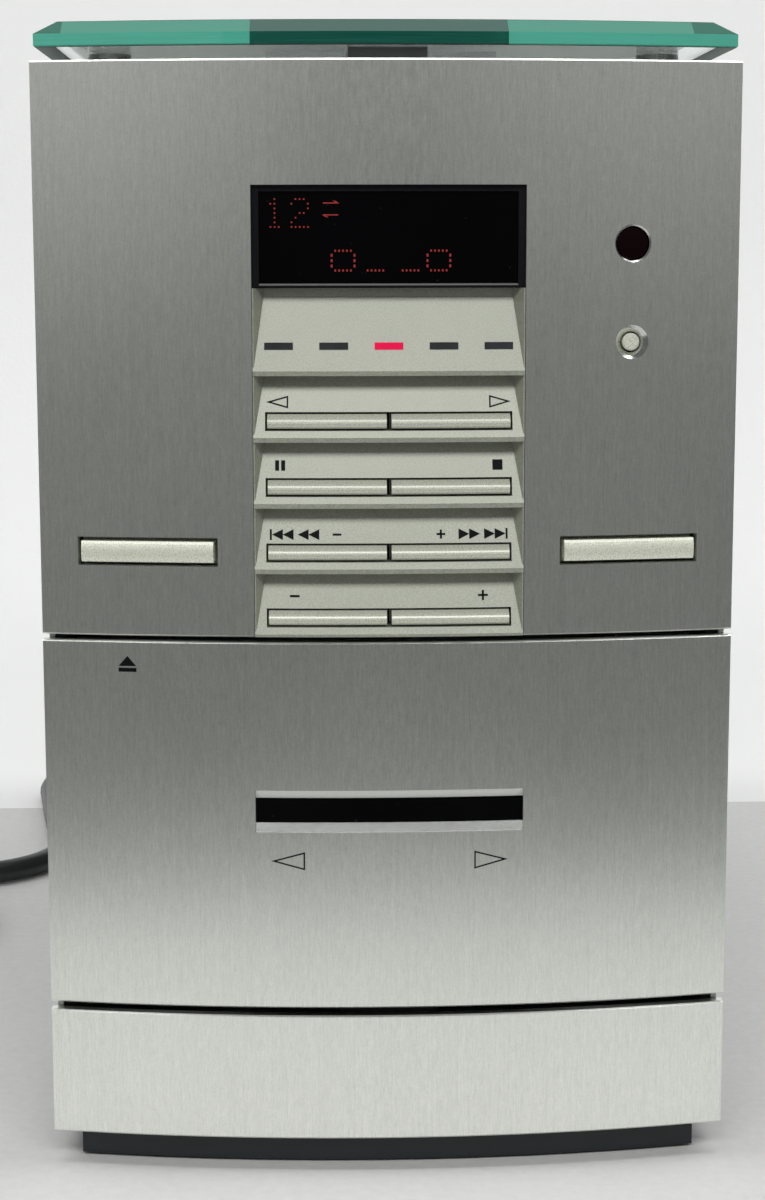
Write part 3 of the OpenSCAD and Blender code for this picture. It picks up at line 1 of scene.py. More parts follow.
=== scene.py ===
"""Dress the micro hi-fi system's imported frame: camera, lead, printed signs, display figures and finishes."""
import logging
import math
from collections.abc import Callable, Iterator, Sequence
from contextlib import contextmanager
from dataclasses import dataclass
from enum import Enum
from functools import cache, partial, reduce

import bmesh
import bpy
from mathutils import Matrix, Vector


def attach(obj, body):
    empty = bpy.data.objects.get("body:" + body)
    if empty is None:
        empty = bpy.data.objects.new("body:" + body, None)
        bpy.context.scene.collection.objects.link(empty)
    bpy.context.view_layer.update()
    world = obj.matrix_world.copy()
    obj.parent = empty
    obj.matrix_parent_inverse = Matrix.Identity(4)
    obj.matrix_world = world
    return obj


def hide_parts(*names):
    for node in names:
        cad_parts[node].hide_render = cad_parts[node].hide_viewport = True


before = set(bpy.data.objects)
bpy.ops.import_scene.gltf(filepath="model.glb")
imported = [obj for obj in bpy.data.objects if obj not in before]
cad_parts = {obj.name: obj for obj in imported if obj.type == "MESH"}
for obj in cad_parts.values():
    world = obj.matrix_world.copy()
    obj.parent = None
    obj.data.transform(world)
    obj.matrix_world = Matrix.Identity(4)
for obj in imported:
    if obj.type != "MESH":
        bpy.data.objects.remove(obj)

LOG = logging.getLogger("scene")
BODY = "cabinet"
MM = 0.001
QUARTER = math.pi / 2
# A normal or an edge with more than this part along an axis counts as lying along it.
ALONG = 0.9
# Most of a noise value lies in this range.
NOISE_LOW, NOISE_HIGH = 0.25, 0.75

Colour = tuple[float, float, float]
Point = tuple[float, float, float]
Pair = tuple[float, float]
Piece = bpy.types.Object
Material = bpy.types.Material
Socket = bpy.types.NodeSocket
Inputs = dict[str | int, object]


class Element(Enum):
    """What a pick takes in edit mode."""

    FACE = "FACE"
    EDGE = "EDGE"


class Way(Enum):
    """Ways that a printed triangle can point, as its turn in degrees from upright."""

    UP = 0.0
    RIGHT = 90.0
    LEFT = -90.0


def select(*pieces: Piece) -> None:
    """Leave edit mode, and select these objects alone, with the first one active.

    Args:
        pieces: The objects, or none to deselect everything.
    """
    if bpy.context.object and bpy.context.object.mode != "OBJECT":
        bpy.ops.object.mode_set(mode="OBJECT")
    bpy.ops.object.select_all(action="DESELECT")
    for piece in pieces:
        piece.select_set(True)
    if pieces:
        bpy.context.view_layer.objects.active = pieces[0]


@contextmanager
def editing(piece: Piece) -> Iterator[None]:
    """Open a piece in edit mode, and close it again.

    Args:
        piece: The mesh object to shape.
    """
    select(piece)
    bpy.ops.object.mode_set(mode="EDIT")
    yield
    bpy.ops.object.mode_set(mode="OBJECT")


def pick(piece: Piece, kind: Element, taken: Callable[[Vector, Vector], bool]) -> None:
    """Select faces or edges of a piece that is open in edit mode.

    Args:
        piece: The piece being shaped.
        kind: Which of the two.
        taken: Says whether to take one, from its middle and its normal or direction.
    """
    bpy.ops.mesh.select_mode(type=kind.value)
    bpy.ops.mesh.select_all(action="DESELECT")
    shape = bmesh.from_edit_mesh(piece.data)
    if kind is Element.FACE:
        for face in shape.faces:
            face.select_set(taken(face.calc_center_median(), face.normal))
    else:
        for edge in shape.edges:
            a, b = (v.co for v in edge.verts)
            edge.select_set(taken((a + b) / 2, (b - a).normalized()))
    bmesh.update_edit_mesh(piece.data)


def settle(piece: Piece, name: str, smooth: float = 35.0) -> Piece:
    """Name a new piece, put its place in its mesh and smooth its gentle edges.

    Args:
        piece: The piece to finish.
        name: Its name.
        smooth: Edges flatter than this many degrees are shaded smooth.

    Returns:
        The same piece.
    """
    select(piece)
    bpy.ops.object.transform_apply(location=True, rotation=True, scale=True)
    bpy.ops.object.shade_smooth_by_angle(angle=math.radians(smooth))
    piece.name = name
    piece.data.name = name
    return piece


def apply_modifier(piece: Piece, kind: str, **settings: object) -> None:
    """Add a modifier to a piece and apply it.

    Args:
        piece: The mesh object.
        kind: The modifier's type.
        settings: Its properties by name.
    """
    select(piece)
    modifier = piece.modifiers.new(kind.lower(), kind)
    for key, value in settings.items():
        setattr(modifier, key, value)
    bpy.ops.object.modifier_apply(modifier=modifier.name)


def extrude(by: Point) -> None:
    """Extrude what is selected, by so many metres along each axis."""
    bpy.ops.mesh.extrude_region_move(TRANSFORM_OT_translate={"value": by})


def loft(stations: Sequence[Point], middle: Point, size: Pair) -> None:
    """Extrude the one face of a new piece along Y through stations, and turn the faces outwards.

    Args:
        stations: For each step, how far it goes and the width and height that it ends at, in millimetres.
        middle: The face's middle before the first step, in metres.
        size: The face's width and height before the first step, in millimetres.
    """
    x, y, z = middle
    bpy.ops.mesh.select_all(action="SELECT")
    for advance, wide, high in stations:
        y += advance * MM
        extrude((0, advance * MM, 0))
        bpy.ops.transform.resize(value=(wide / size[0], 1, high / size[1]), center_override=(x, y, z))
        size = (wide, high)
    bpy.ops.mesh.select_all(action="SELECT")
    bpy.ops.mesh.normals_make_consistent(inside=False)


def toned(colour: Colour, by: float) -> Colour:
    """Give a colour made so many times as light."""
    return tuple(min(1.0, c * by) for c in colour)


class Shader:
    """A material's node tree, with short calls for the nodes that the finishes share."""

    def __init__(self, name: str, **values: object) -> None:
        """Start a material with one Principled shader.

        Args:
            name: The material's name.
            values: Plain values for the shader's own inputs, as feed takes them.
        """
        self.material = bpy.data.materials.new(name)
        self.material.use_nodes = True
        self.tree = self.material.node_tree
        self.tree.nodes.clear()
        self.surface = self.node("ShaderNodeBsdfPrincipled")
        self.output = self.node("ShaderNodeOutputMaterial", {"Surface": self.surface.outputs["BSDF"]})
        self.here = self.place()
        self.feed(**values)

    def put(self, node: bpy.types.Node, values: Inputs) -> None:
        """Set a node's inputs.

        Args:
            node: The node.
            values: For each input, by name or number, an output to link to it or a plain value.
        """
        for key, value in values.items():
            socket = node.inputs[key]
            if not isinstance(value, (int, float, tuple)):
                self.tree.links.new(value, socket)
            elif socket.type == "RGBA":
                socket.default_value = (*value, 1.0)
            else:
                socket.default_value = value

    def node(self, kind: str, values: Inputs | None = None, **settings: object) -> bpy.types.Node:
        """Add a node.

        Args:
            kind: The node's type.
            values: Its inputs, as put takes them.
            settings: Its properties by name.

        Returns:
            The new node.
        """
        node = self.tree.nodes.new(kind)
        for key, value in settings.items():
            setattr(node, key, value)
        self.put(node, values or {})
        return node

    def feed(self, **values: object) -> None:
        """Set the Principled shader's inputs, named with _ for a space."""
        self.put(self.surface, {key.replace("_", " "): value for key, value in values.items()})

    def place(self, scale: Point = (1, 1, 1), middle: Point = (0, 0, 0)) -> Socket:
        """Give Object coordinates from a middle in millimetres, stretched along each axis."""
        spot = {"Vector": self.node("ShaderNodeTexCoord").outputs["Object"], "Scale": scale,
                "Location": tuple(-m * MM * k for m, k in zip(middle, scale))}
        return self.node("ShaderNodeMapping", spot).outputs["Vector"]

    def noise(self, scale: float | Point, detail: float) -> Socket:
        """Give a noise value by its scale to a metre, one for all axes or one for each, and its octaves."""
        where, even = (self.place(scale), 1.0) if isinstance(scale, tuple) else (self.here, scale)
        return self.node("ShaderNodeTexNoise",
                         {"Vector": where, "Scale": even, "Detail": detail}).outputs["Fac"]

    def flakes(self, scale: float) -> Socket:
        """Give a random value for each cell of a fine grain, with so many cells to a metre."""
        cells = self.node("ShaderNodeTexVoronoi", {"Vector": self.here, "Scale": scale})
        return self.node("ShaderNodeSeparateColor", {"Color": cells.outputs["Color"]}).outputs["Red"]

    def spread(self, noise: Socket, low: float = 0.0, high: float = 1.0) -> Socket:
        """Stretch the middle of a noise value to a range."""
        values = {"Value": noise, "From Min": NOISE_LOW, "From Max": NOISE_HIGH, "To Min": low}
        return self.node("ShaderNodeMapRange", values | {"To Max": high}).outputs["Result"]

    def around(self, noise: Socket, middle: float, below: float = 0.06, above: float = 0.08) -> Socket:
        """Give a value that a noise takes from so much below its middle to so much above it."""
        return self.spread(noise, middle - below, middle + above)

    def sums(self, kind: str, a: Socket, b: Socket | float) -> Socket:
        """Work out one of the Math node's sums of two values."""
        return self.node("ShaderNodeMath", {0: a, 1: b}, operation=kind).outputs["Value"]

    def weigh(self, *parts: tuple[Socket, float]) -> Socket:
        """Add up values, each times its weight."""
        return reduce(partial(self.sums, "ADD"), [self.sums("MULTIPLY", *part) for part in parts])

    def mix(self, factor: Socket, a: Colour | Socket, b: Colour | Socket) -> Socket:
        """Mix two colours: the first where the factor is 0, the second where it is 1."""
        return self.node("ShaderNodeMix", {"Factor": factor, 6: a, 7: b}, data_type="RGBA").outputs[2]

    def mottle(self, noise: Socket, colour: Colour, low: float, high: float) -> Socket:
        """Give a colour that a noise takes from so many times as light to so many times."""
        return self.mix(self.spread(noise), toned(colour, low), toned(colour, high))

    def bump(self, height: Socket, strength: float, depth: float) -> None:
        """Roughen the surface by a height from 0 to 1, where 1 stands for a depth in metres."""
        node = self.node("ShaderNodeBump", {"Height": height, "Strength": strength, "Distance": depth})
        self.feed(Normal=node.outputs["Normal"])

    def axis(self, name: str) -> Socket:
        """Give one Object coordinate in metres: X, Y or Z."""
        return self.node("ShaderNodeSeparateXYZ", {"Vector": self.here}).outputs[name]

    def within(self, name: str, low: float, high: float) -> Socket:
        """Give 1 where one Object coordinate lies between two places in millimetres."""
        off = self.sums("SUBTRACT", self.axis(name), (low + high) / 2 * MM)
        return self.sums("LESS_THAN", self.sums("ABSOLUTE", off, 0.0), (high - low) / 2 * MM)

    def window(self, half: float, low: float, high: float) -> Socket:
        """Give 1 in a rectangle seen from the front, by half its width and its z range in millimetres."""
        return self.sums("MULTIPLY", self.within("X", -half, half), self.within("Z", low, high))

    def away(self, axes: Point, middle: Point) -> Socket:
        """Give the distance in metres from a point in millimetres, along the axes that are 1."""
        spot = {0: self.place(axes, middle)}
        return self.node("ShaderNodeVectorMath", spot, operation="LENGTH").outputs["Value"]

    def disc(self, x: float, z: float, radius: float) -> Socket:
        """Give 1 in a round seen from the front, by its middle and radius in millimetres."""
        return self.sums("LESS_THAN", self.away((1, 0, 1), (x, 0, z)), radius * MM)


@dataclass(frozen=True)
class BrushedMetal:
    """Plate metal with long fine brush lines, polished bare where it is turned or flared.

    Lines and columns are the scales of their noise along x, y and z. Rounds give x, z and radius, and the
    flare gives half its length, its lowest z and its highest, in millimetres.
    """

    name: str
    colour: Colour
    dark: Colour
    polished: Colour
    roughness: float = 0.33
    polish: float = 0.13
    anisotropy: float = 0.6
    lines: Point = (3800.0, 3800.0, 420.0)
    columns: Point = (2300.0, 2300.0, 45.0)
    speckle: float = 2600.0
    cloud: float = 26.0
    depth: float = 0.000005
    rounds: tuple[Point, ...] = ((44.2, 156.0, 3.12), (44.2, 173.7, 3.42))
    flare: Point = (24.9, 65.82, 73.68)

    def bare(self, shader: Shader) -> Socket:
        """Give 1 where the metal is polished bare."""
        spots = [shader.window(*self.flare), *(shader.disc(*spot) for spot in self.rounds)]
        return reduce(partial(shader.sums, "MAXIMUM"), spots)

    def turned(self, shader: Shader) -> Socket:
        """Give the direction of the brush lines: upright on the face, round each turned spot.

        Args:
            shader: The material's tree.

        Returns:
            The tangent output.
        """
        tangent = shader.node("ShaderNodeTangent", direction_type="RADIAL", axis="Z").outputs["Tangent"]
        for x, z, radius in self.rounds:
            spoke = {0: shader.place((1, 0, 1), (x, 0, z)), 1: (0, 1 / MM, 0)}
            ring = shader.node("ShaderNodeVectorMath", spoke, operation="CROSS_PRODUCT").outputs["Vector"]
            choice = {"Factor": shader.disc(x, z, radius), 4: tangent, 5: ring}
            tangent = shader.node("ShaderNodeMix", choice, data_type="VECTOR").outputs[1]
        return tangent

    def material(self) -> Material:
        """Make the material."""
        shader = Shader(self.name, Metallic=1.0, Anisotropic=self.anisotropy)
        lines = shader.noise(self.lines, 3.0)
        columns = shader.noise(self.columns, 2.0)
        grain = shader.noise(self.speckle, 1.0)
        tone = shader.spread(shader.weigh((lines, 0.5), (columns, 0.22), (grain, 0.28)), -0.25, 1.25)
        rough = shader.weigh((lines, 0.6), (shader.noise(self.cloud, 3.0), 0.4))
        rough = shader.around(rough, self.roughness, 0.04, 0.05)
        bare = self.bare(shader)
        shader.feed(Base_Color=shader.mix(bare, shader.mix(tone, self.dark, self.colour), self.polished),
                    Roughness=shader.sums("SUBTRACT", rough, shader.sums("MULTIPLY", bare, self.polish)),
                    Tangent=self.turned(shader))
        shader.bump(lines, 0.3, self.depth)
        return shader.material


@dataclass(frozen=True)
class FlakePaint:
    """Silver paint on a moulding or sheet, with fine metal flakes under a satin face."""

    name: str
    colour: Colour
    flake: float
    metallic: float
    roughness: float
    cells: float
    cloud: float = 90.0
    depth: float = 0.00002

    def material(self) -> Material:
        """Make the material."""
        shader = Shader(self.name, Metallic=self.metallic, Coat_Weight=0.12, Coat_Roughness=0.25)
        grain = shader.flakes(self.cells)
        tone = shader.weigh((grain, 0.75), (shader.noise(self.cloud, 3.0), 0.25))
        shader.feed(Base_Color=shader.mottle(tone, self.colour, 1 - self.flake, 1 + self.flake),
                    Roughness=shader.around(grain, self.roughness, 0.07))
        shader.bump(grain, 0.12, self.depth)
        return shader.material


@dataclass(frozen=True)
class Plastic:
    """Moulded plastic, rubber or ink with a fine spark-eroded grain."""

    name: str
    colour: Colour
    roughness: float
    grain: float = 2600.0
    cloud: float = 60.0
    mottle: float = 0.14
    depth: float = 0.00002
    coat: float = 0.0
    shine: float = 0.5

    def material(self) -> Material:
        """Make the material."""
        shader = Shader(self.name, Coat_Weight=self.coat, Coat_Roughness=0.08, Specular_IOR_Level=self.shine)
        pits = shader.noise(self.grain, 2.0)
        soft = shader.noise(self.cloud, 3.0)
        shader.feed(Base_Color=shader.mottle(soft, self.colour, 1 - self.mottle, 1 + self.mottle),
                    Roughness=shader.around(pits, self.roughness))
        shader.bump(pits, 0.25, self.depth)
        return shader.material


@dataclass(frozen=True)
class PlainMetal:
    """Plated, cast or turned metal with a faint mottle and fine scratches."""

    name: str
    colour: Colour
    roughness: float
    mottle: float = 0.12
    cloud: float = 140.0
    scratches: float = 3080.0
    depth: float = 0.00001

    def material(self) -> Material:
        """Make the material."""
        shader = Shader(self.name, Metallic=1.0)
        cloud = shader.noise(self.cloud, 4.0)
        fine = shader.noise(self.scratches, 2.0)
        shader.feed(Base_Color=shader.mottle(cloud, self.colour, 1 - self.mottle, 1 + self.mottle),
                    Roughness=shader.around(fine, self.roughness))
        shader.bump(fine, 0.1, self.depth)
        return shader.material


@dataclass(frozen=True)
class GlossPanel:
    """Smoked acrylic: nearly black, very smooth, with a faint haze of dust.

    An opening, by half its width and its z range in millimetres, gives the panel a moulded rim, with a painted
    highlight along the rim's lower edge.
    """

    name: str
    colour: Colour
    dust: Colour
    roughness: float = 0.06
    rim: Colour = (0.0, 0.0, 0.0)
    lip_highlight: Colour = (0.0, 0.0, 0.0)
    opening: Point | None = None
    lip_highlight_height: float = 0.35
    cloud: float = 45.0
    specks: float = 900.0
    speck_level: float = 0.77

    def material(self) -> Material:
        """Make the material, with a rim round its opening and a painted highlight along the rim's lower edge.
        """
        shader = Shader(self.name, IOR=1.49, Specular_IOR_Level=0.12)
        haze = shader.noise(self.cloud, 5.0)
        specks = shader.sums("GREATER_THAN", shader.noise(self.specks, 1.0), self.speck_level)
        face = shader.mix(specks, shader.mottle(haze, self.colour, 1.0, 1.7), self.dust)
        if self.opening:
            half, low, _ = self.opening
            face = shader.mix(shader.window(*self.opening), self.rim, face)
            # Painted highlight: a light band below the opening stands in for light caught on the rim's lower
            # edge.
            face = shader.mix(shader.window(half, low - self.lip_highlight_height, low), face, self.lip_highlight)
        shader.feed(Base_Color=face, Roughness=shader.around(haze, self.roughness, 0.03, 0.05))
        return shader.material


@dataclass(frozen=True)
class EdgeGlass:
    """Float glass that is clear across its face and green through its bevelled edge.

    The middle of its front edge is painted darker, a painted reflection of the dark slide plate that lies
    behind it; the corners beyond its mitres and the side strips of its underside are painted darker as painted
    shade. Sizes are in millimetres, in the row frame.
    """

    name: str
    bevel: Colour
    band: Colour
    bevel_painted_shade: Colour
    band_painted_shade: Colour
    clear: Colour = (1.0, 1.0, 1.0)
    tint: Colour = (0.014, 0.636, 0.50)
    density: float = 14.0
    roughness: float = 0.015
    frost: float = 0.5
    cloudy: float = 0.75
    lines: Point = (70.0, 70.0, 4200.0)
    smears: float = 70.0
    half_width: float = 59.4
    back: float = 5.6
    bow_middle: float = 182.2
    bow: float = 316.8
    underside: float = 208.7
    band_top: float = 210.95
    slide: Pair = (-24.6, 21.5)
    mitres: Pair = (-58.5, 55.3)

    def material(self) -> Material:
        """Make the material: a bevel with painted shade at its mitres and a painted reflection of the slide
        plate in its middle, over a lined band, round a clear pane.
        """
        shader = Shader(self.name, IOR=1.52)
        x, y, z = (shader.axis(name) for name in "XYZ")
        front = shader.sums("GREATER_THAN", shader.away((1, 1, 0), (0, self.bow_middle, 0)), self.bow * MM)
        side = shader.sums("GREATER_THAN", shader.sums("ABSOLUTE", x, 0.0), self.half_width * MM)
        rear = shader.sums("GREATER_THAN", y, self.back * MM)
        over = shader.sums("GREATER_THAN", z, self.underside * MM)
        rim = shader.sums("MULTIPLY", shader.sums("MAXIMUM", front, rear), over)
        rim = shader.sums("MAXIMUM", rim, side)
        under = shader.sums("MULTIPLY", side, shader.sums("SUBTRACT", over, 1.0))
        # Painted reflection: the front edge is painted darker across the slide plate's width, standing in for
        # the dark slide plate seen through the glass.
        middle = shader.sums("MULTIPLY", front, shader.within("X", *self.slide))
        # Painted shade: the front edge's corners beyond the mitres are painted darker.
        ends = shader.sums("SUBTRACT", front, shader.within("X", *self.mitres))
        bevel = shader.mix(middle, self.bevel, self.bevel_painted_shade)
        bevel = shader.mix(shader.sums("MAXIMUM", ends, 0.0), bevel, toned(self.bevel, 0.55))
        band = shader.mix(middle, self.band, self.band_painted_shade)
        lines = shader.spread(shader.noise(self.lines, 2.0), 0.0, 0.25)
        band = shader.mix(lines, band, toned(self.band, 0.45))
        edge = shader.mix(shader.sums("LESS_THAN", z, self.band_top * MM), bevel, band)
        # Painted shade: below the top faces, the side strips of the underside are painted a darker green.
        edge = shader.mix(over, toned(self.bevel_painted_shade, 0.5), edge)
        smooth = shader.around(shader.noise(self.smears, 4.0), self.roughness, 0.01, 0.03)
        shader.feed(Base_Color=shader.mix(rim, self.clear, edge),
                    Transmission_Weight=shader.sums("ADD", shader.sums("MULTIPLY", rim, -self.cloudy), 1.0),
                    Roughness=shader.sums("ADD", smooth, shader.sums("MULTIPLY", under, -self.frost)))
        inside = shader.node("ShaderNodeVolumeAbsorption", {"Color": self.tint, "Density": self.density})
        shader.put(shader.output, {"Volume": inside.outputs["Volume"]})
        return shader.material


@dataclass(frozen=True)
class Indicators:
    """Five lens bars of dark acrylic, of which the middle one is lit."""

    name: str
    dark: Colour
    lit: Colour
    unlit: Colour = (0.0, 0.0, 0.0)
    half_width: float = 3.0
    strength: float = 0.7
    cloud: float = 420.0

    def material(self) -> Material:
        """Make the material."""
        shader = Shader(self.name, Roughness=0.3, Specular_IOR_Level=0.05, Emission_Strength=self.strength)
        middle = shader.within("X", -self.half_width, self.half_width)
        cloud = shader.noise(self.cloud, 3.0)
        body = shader.mottle(cloud, self.dark, 1.0, 1.5)
        shader.feed(Base_Color=shader.mix(middle, body, toned(self.lit, 0.3)),
                    Emission_Color=shader.mix(middle, self.unlit, shader.mottle(cloud, self.lit, 0.75, 1.0)))
        return shader.material


@dataclass(frozen=True)
class Glow:
    """Light-giving dots of a display, with a little unevenness."""

    name: str
    colour: Colour
    strength: float
    unlit: Colour = (0.02, 0.0, 0.0)
    grain: float = 1500.0

    def material(self) -> Material:
        """Make the material."""
        shader = Shader(self.name, Base_Color=self.unlit, Roughness=0.4, Emission_Strength=self.strength)
        shader.feed(Emission_Color=shader.mottle(shader.noise(self.grain, 1.0), self.colour, 0.7, 1.0))
        return shader.material


@dataclass(frozen=True)
class Board:
    """Circuit board: green lacquer with copper runs, and dark parts standing off its face.

    The face is the range along an axis, in millimetres, that holds the bare board.
    """

    name: str
    parts: Colour
    axis: str
    face: Pair
    lacquer: Colour = (0.012, 0.07, 0.03)
    copper: Colour = (0.035, 0.14, 0.05)
    runs: tuple[tuple[str, float], ...] = (("Scale", 120.0), ("Mortar Size", 0.06), ("Brick Width", 1.4),
                                           ("Row Height", 0.32))
    cloud: float = 240.0
    shine: Pair = (0.32, 0.5)

    def material(self) -> Material:
        """Make the material."""
        shader = Shader(self.name)
        runs = shader.node("ShaderNodeTexBrick", {"Vector": shader.here, **dict(self.runs)})
        cloud = shader.noise(self.cloud, 3.0)
        tracks = shader.mix(runs.outputs["Fac"], shader.mottle(cloud, self.lacquer, 1.0, 1.5), self.copper)
        shader.feed(Base_Color=shader.mix(shader.within(self.axis, *self.face), self.parts, tracks),
                    Roughness=shader.spread(cloud, *self.shine))
        return shader.material


@dataclass(frozen=True)
class Sockets:
    """Black terminal blocks with coloured sockets, told apart by where they stand, in millimetres."""

    name: str
    black: Colour
    red: Colour
    white: Colour
    metal: Colour
    proud: Pair = (134.9, 150.0)
    clamps: Pair = (30.0, 80.0)
    first: Pair = (-38.0, -21.0)
    aerial: Pair = (20.0, 60.0)
    grain: float = 2400.0
    depth: float = 0.00002

    def material(self) -> Material:
        """Make the material."""
        shader = Shader(self.name, Roughness=0.38)
        first = shader.within("X", *self.first)
        pits = shader.noise(self.grain, 2.0)
        rings = shader.mix(first, self.white, self.red)
        clamps = shader.mix(first, self.black, self.red)
        faces = shader.mix(shader.within("Z", *self.clamps), rings, clamps)
        faces = shader.mix(shader.within("X", *self.aerial), faces, self.metal)
        blocks = shader.mottle(pits, self.black, 0.8, 1.0)
        shader.feed(Base_Color=shader.mix(shader.within("Y", *self.proud), blocks, faces))
        shader.bump(pits, 0.2, self.depth)
        return shader.material


@dataclass(frozen=True)
class Felt:
    """The table's short-napped grey cloth and the white wall beyond its rear edge, both clear from behind."""

    name: str
    near: Colour
    far: Colour
    edge: float
    nap: float = 420.0
    cloud: float = 30.0
    depth: float = 0.0004

    def material(self) -> Material:
        """Make the material."""
        shader = Shader(self.name, Roughness=0.85)
        nap = shader.noise(self.nap, 4.0)
        tone = shader.weigh((nap, 0.7), (shader.noise(self.cloud, 3.0), 0.3))
        beyond = shader.sums("GREATER_THAN", shader.axis("Y"), self.edge * MM)
        shader.feed(Base_Color=shader.mix(beyond, shader.mottle(tone, self.near, 0.9, 1.0), self.far))
        shader.bump(nap, 0.3, self.depth)
        sides = {0: shader.node("ShaderNodeNewGeometry").outputs["Backfacing"],
                 1: shader.surface.outputs["BSDF"],
                 2: shader.node("ShaderNodeBsdfTransparent").outputs["BSDF"]}
        shader.put(shader.output, {"Surface": shader.node("ShaderNodeMixShader", sides).outputs["Shader"]})
        return shader.material


FINISHES = {finish.name: finish for finish in (
    BrushedMetal("front_aluminium", (0.97, 0.985, 0.93), (0.79, 0.805, 0.76), (0.66, 0.67, 0.645)),
    FlakePaint("fascia_paint", (0.385, 0.398, 0.332), 0.14, 0.2, 0.38, 5600.0),
    # Painted light: the deck's silver paint is made lighter, to stand in for the light that reaches it through
    # the glass lid.
    FlakePaint("deck_paint_painted_light", (0.50, 0.512, 0.462), 0.1, 0.2, 0.4, 5600.0),
    FlakePaint("bar_paint", (0.67, 0.69, 0.58), 0.06, 0.25, 0.34, 9000.0),
    FlakePaint("key_silver", (0.85, 0.87, 0.735), 0.08, 0.25, 0.34, 6500.0),
    FlakePaint("case_metal", (0.37, 0.38, 0.37), 0.1, 0.3, 0.4, 3000.0),
    PlainMetal("polished_silver", (0.86, 0.86, 0.84), 0.14, 0.04),
    PlainMetal("zinc_steel", (0.56, 0.57, 0.57), 0.32),
    PlainMetal("brass", (0.80, 0.62, 0.32), 0.22, 0.06),
    PlainMetal("pad_metal", (0.32, 0.33, 0.32), 0.3, 0.08),
    PlainMetal("slide_metal", (0.20, 0.205, 0.21), 0.36, 0.1),
    PlainMetal("core_steel", (0.24, 0.23, 0.22), 0.5, 0.2),
    PlainMetal("fin_aluminium", (0.70, 0.71, 0.72), 0.34, 0.08),
    PlainMetal("pin_nickel", (0.66, 0.64, 0.58), 0.22, 0.05),
    Plastic("plinth_plastic", (0.008, 0.0115, 0.0135), 0.42),
    Plastic("black_plastic", (0.014, 0.014, 0.015), 0.48),
    Plastic("display_unit", (0.02, 0.032, 0.028), 0.3, coat=0.4),
    Plastic("nylon", (0.72, 0.70, 0.64), 0.4),
    Plastic("rubber", (0.012, 0.012, 0.012), 0.7),
    Plastic("cord_pvc", (0.011, 0.0125, 0.013), 0.36, 1800.0),
    Plastic("print_black", (0.006, 0.006, 0.0065), 0.6, shine=0.1),
    GlossPanel("smoked_acrylic", (0.0012, 0.0012, 0.0014), (0.012, 0.012, 0.013)),
    # The display window's light band under its opening is a painted highlight.
    GlossPanel("display_acrylic", (0.0008, 0.0008, 0.0012), (0.008, 0.008, 0.009), rim=(0.011, 0.011, 0.013),
               lip_highlight=(0.20, 0.20, 0.195), opening=(23.3, 166.65, 182.9)),
    GlossPanel("remote_acrylic", (0.0034, 0.0004, 0.0009), (0.012, 0.002, 0.004)),
    Indicators("indicator_acrylic", (0.024, 0.025, 0.027), (1.0, 0.003, 0.085)),
    Glow("display_red", (0.72, 0.055, 0.05), 0.45),
    Board("control_board", (0.03, 0.03, 0.032), "Y", (-125.6, -123.4)),
    Board("main_board", (0.03, 0.03, 0.035), "Z", (7.0, 14.2)),
    # The glass's darker middle, mitre and underside greens are painted shade and a painted reflection of the
    # slide plate.
    EdgeGlass("green_glass", (0.143, 0.43, 0.325), (0.13, 0.68, 0.51), (0.115, 0.21, 0.18), (0.0, 0.1, 0.07)),
    Sockets("sockets", (0.014, 0.014, 0.015), (0.42, 0.012, 0.014), (0.7, 0.69, 0.66), (0.5, 0.5, 0.49)),
)}


@cache
def made(finish: str) -> Material:
    """Make a finish's material, once."""
    return FINISHES[finish].material()


def dress(piece: Piece, finish: str) -> None:
    """Give a piece one finish all over.

    Args:
        piece: A new piece or a CAD node.
        finish: The finish's name.
    """
    if not piece.data.materials:
        piece.data.materials.append(None)
    for slot in piece.material_slots:
        slot.link = "OBJECT"
        slot.material = made(finish)


@dataclass
class PhotoCamera:
    """The photograph's view: where the camera stands, how it turns in degrees, and its lens."""

    place: Point = (-0.01397, -0.5560, 0.17226)
    yaw: float = 1.751
    pitch: float = 8.613
    roll: float = -0.098
    lens: float = 68.97
    sensor: float = 36.0
    nearest: float = 0.01

    def build(self) -> None:
        """Make the scene's camera."""
        data = bpy.data.cameras.new("photo_camera")
        data.sensor_fit = "VERTICAL"
        data.sensor_height = self.sensor
        data.lens = self.lens
        data.clip_start = self.nearest
        camera = bpy.data.objects.new("photo_camera", data)
        bpy.context.collection.objects.link(camera)
        yaw, pitch, roll = (math.radians(a) for a in (self.yaw, self.pitch, self.roll))
        turn = Matrix.Rotation(-yaw, 4, "Z") @ Matrix.Rotation(QUARTER - pitch, 4, "X")
        camera.matrix_world = Matrix.Translation(self.place) @ turn @ Matrix.Rotation(roll, 4, "Z")
        bpy.context.scene.camera = camera


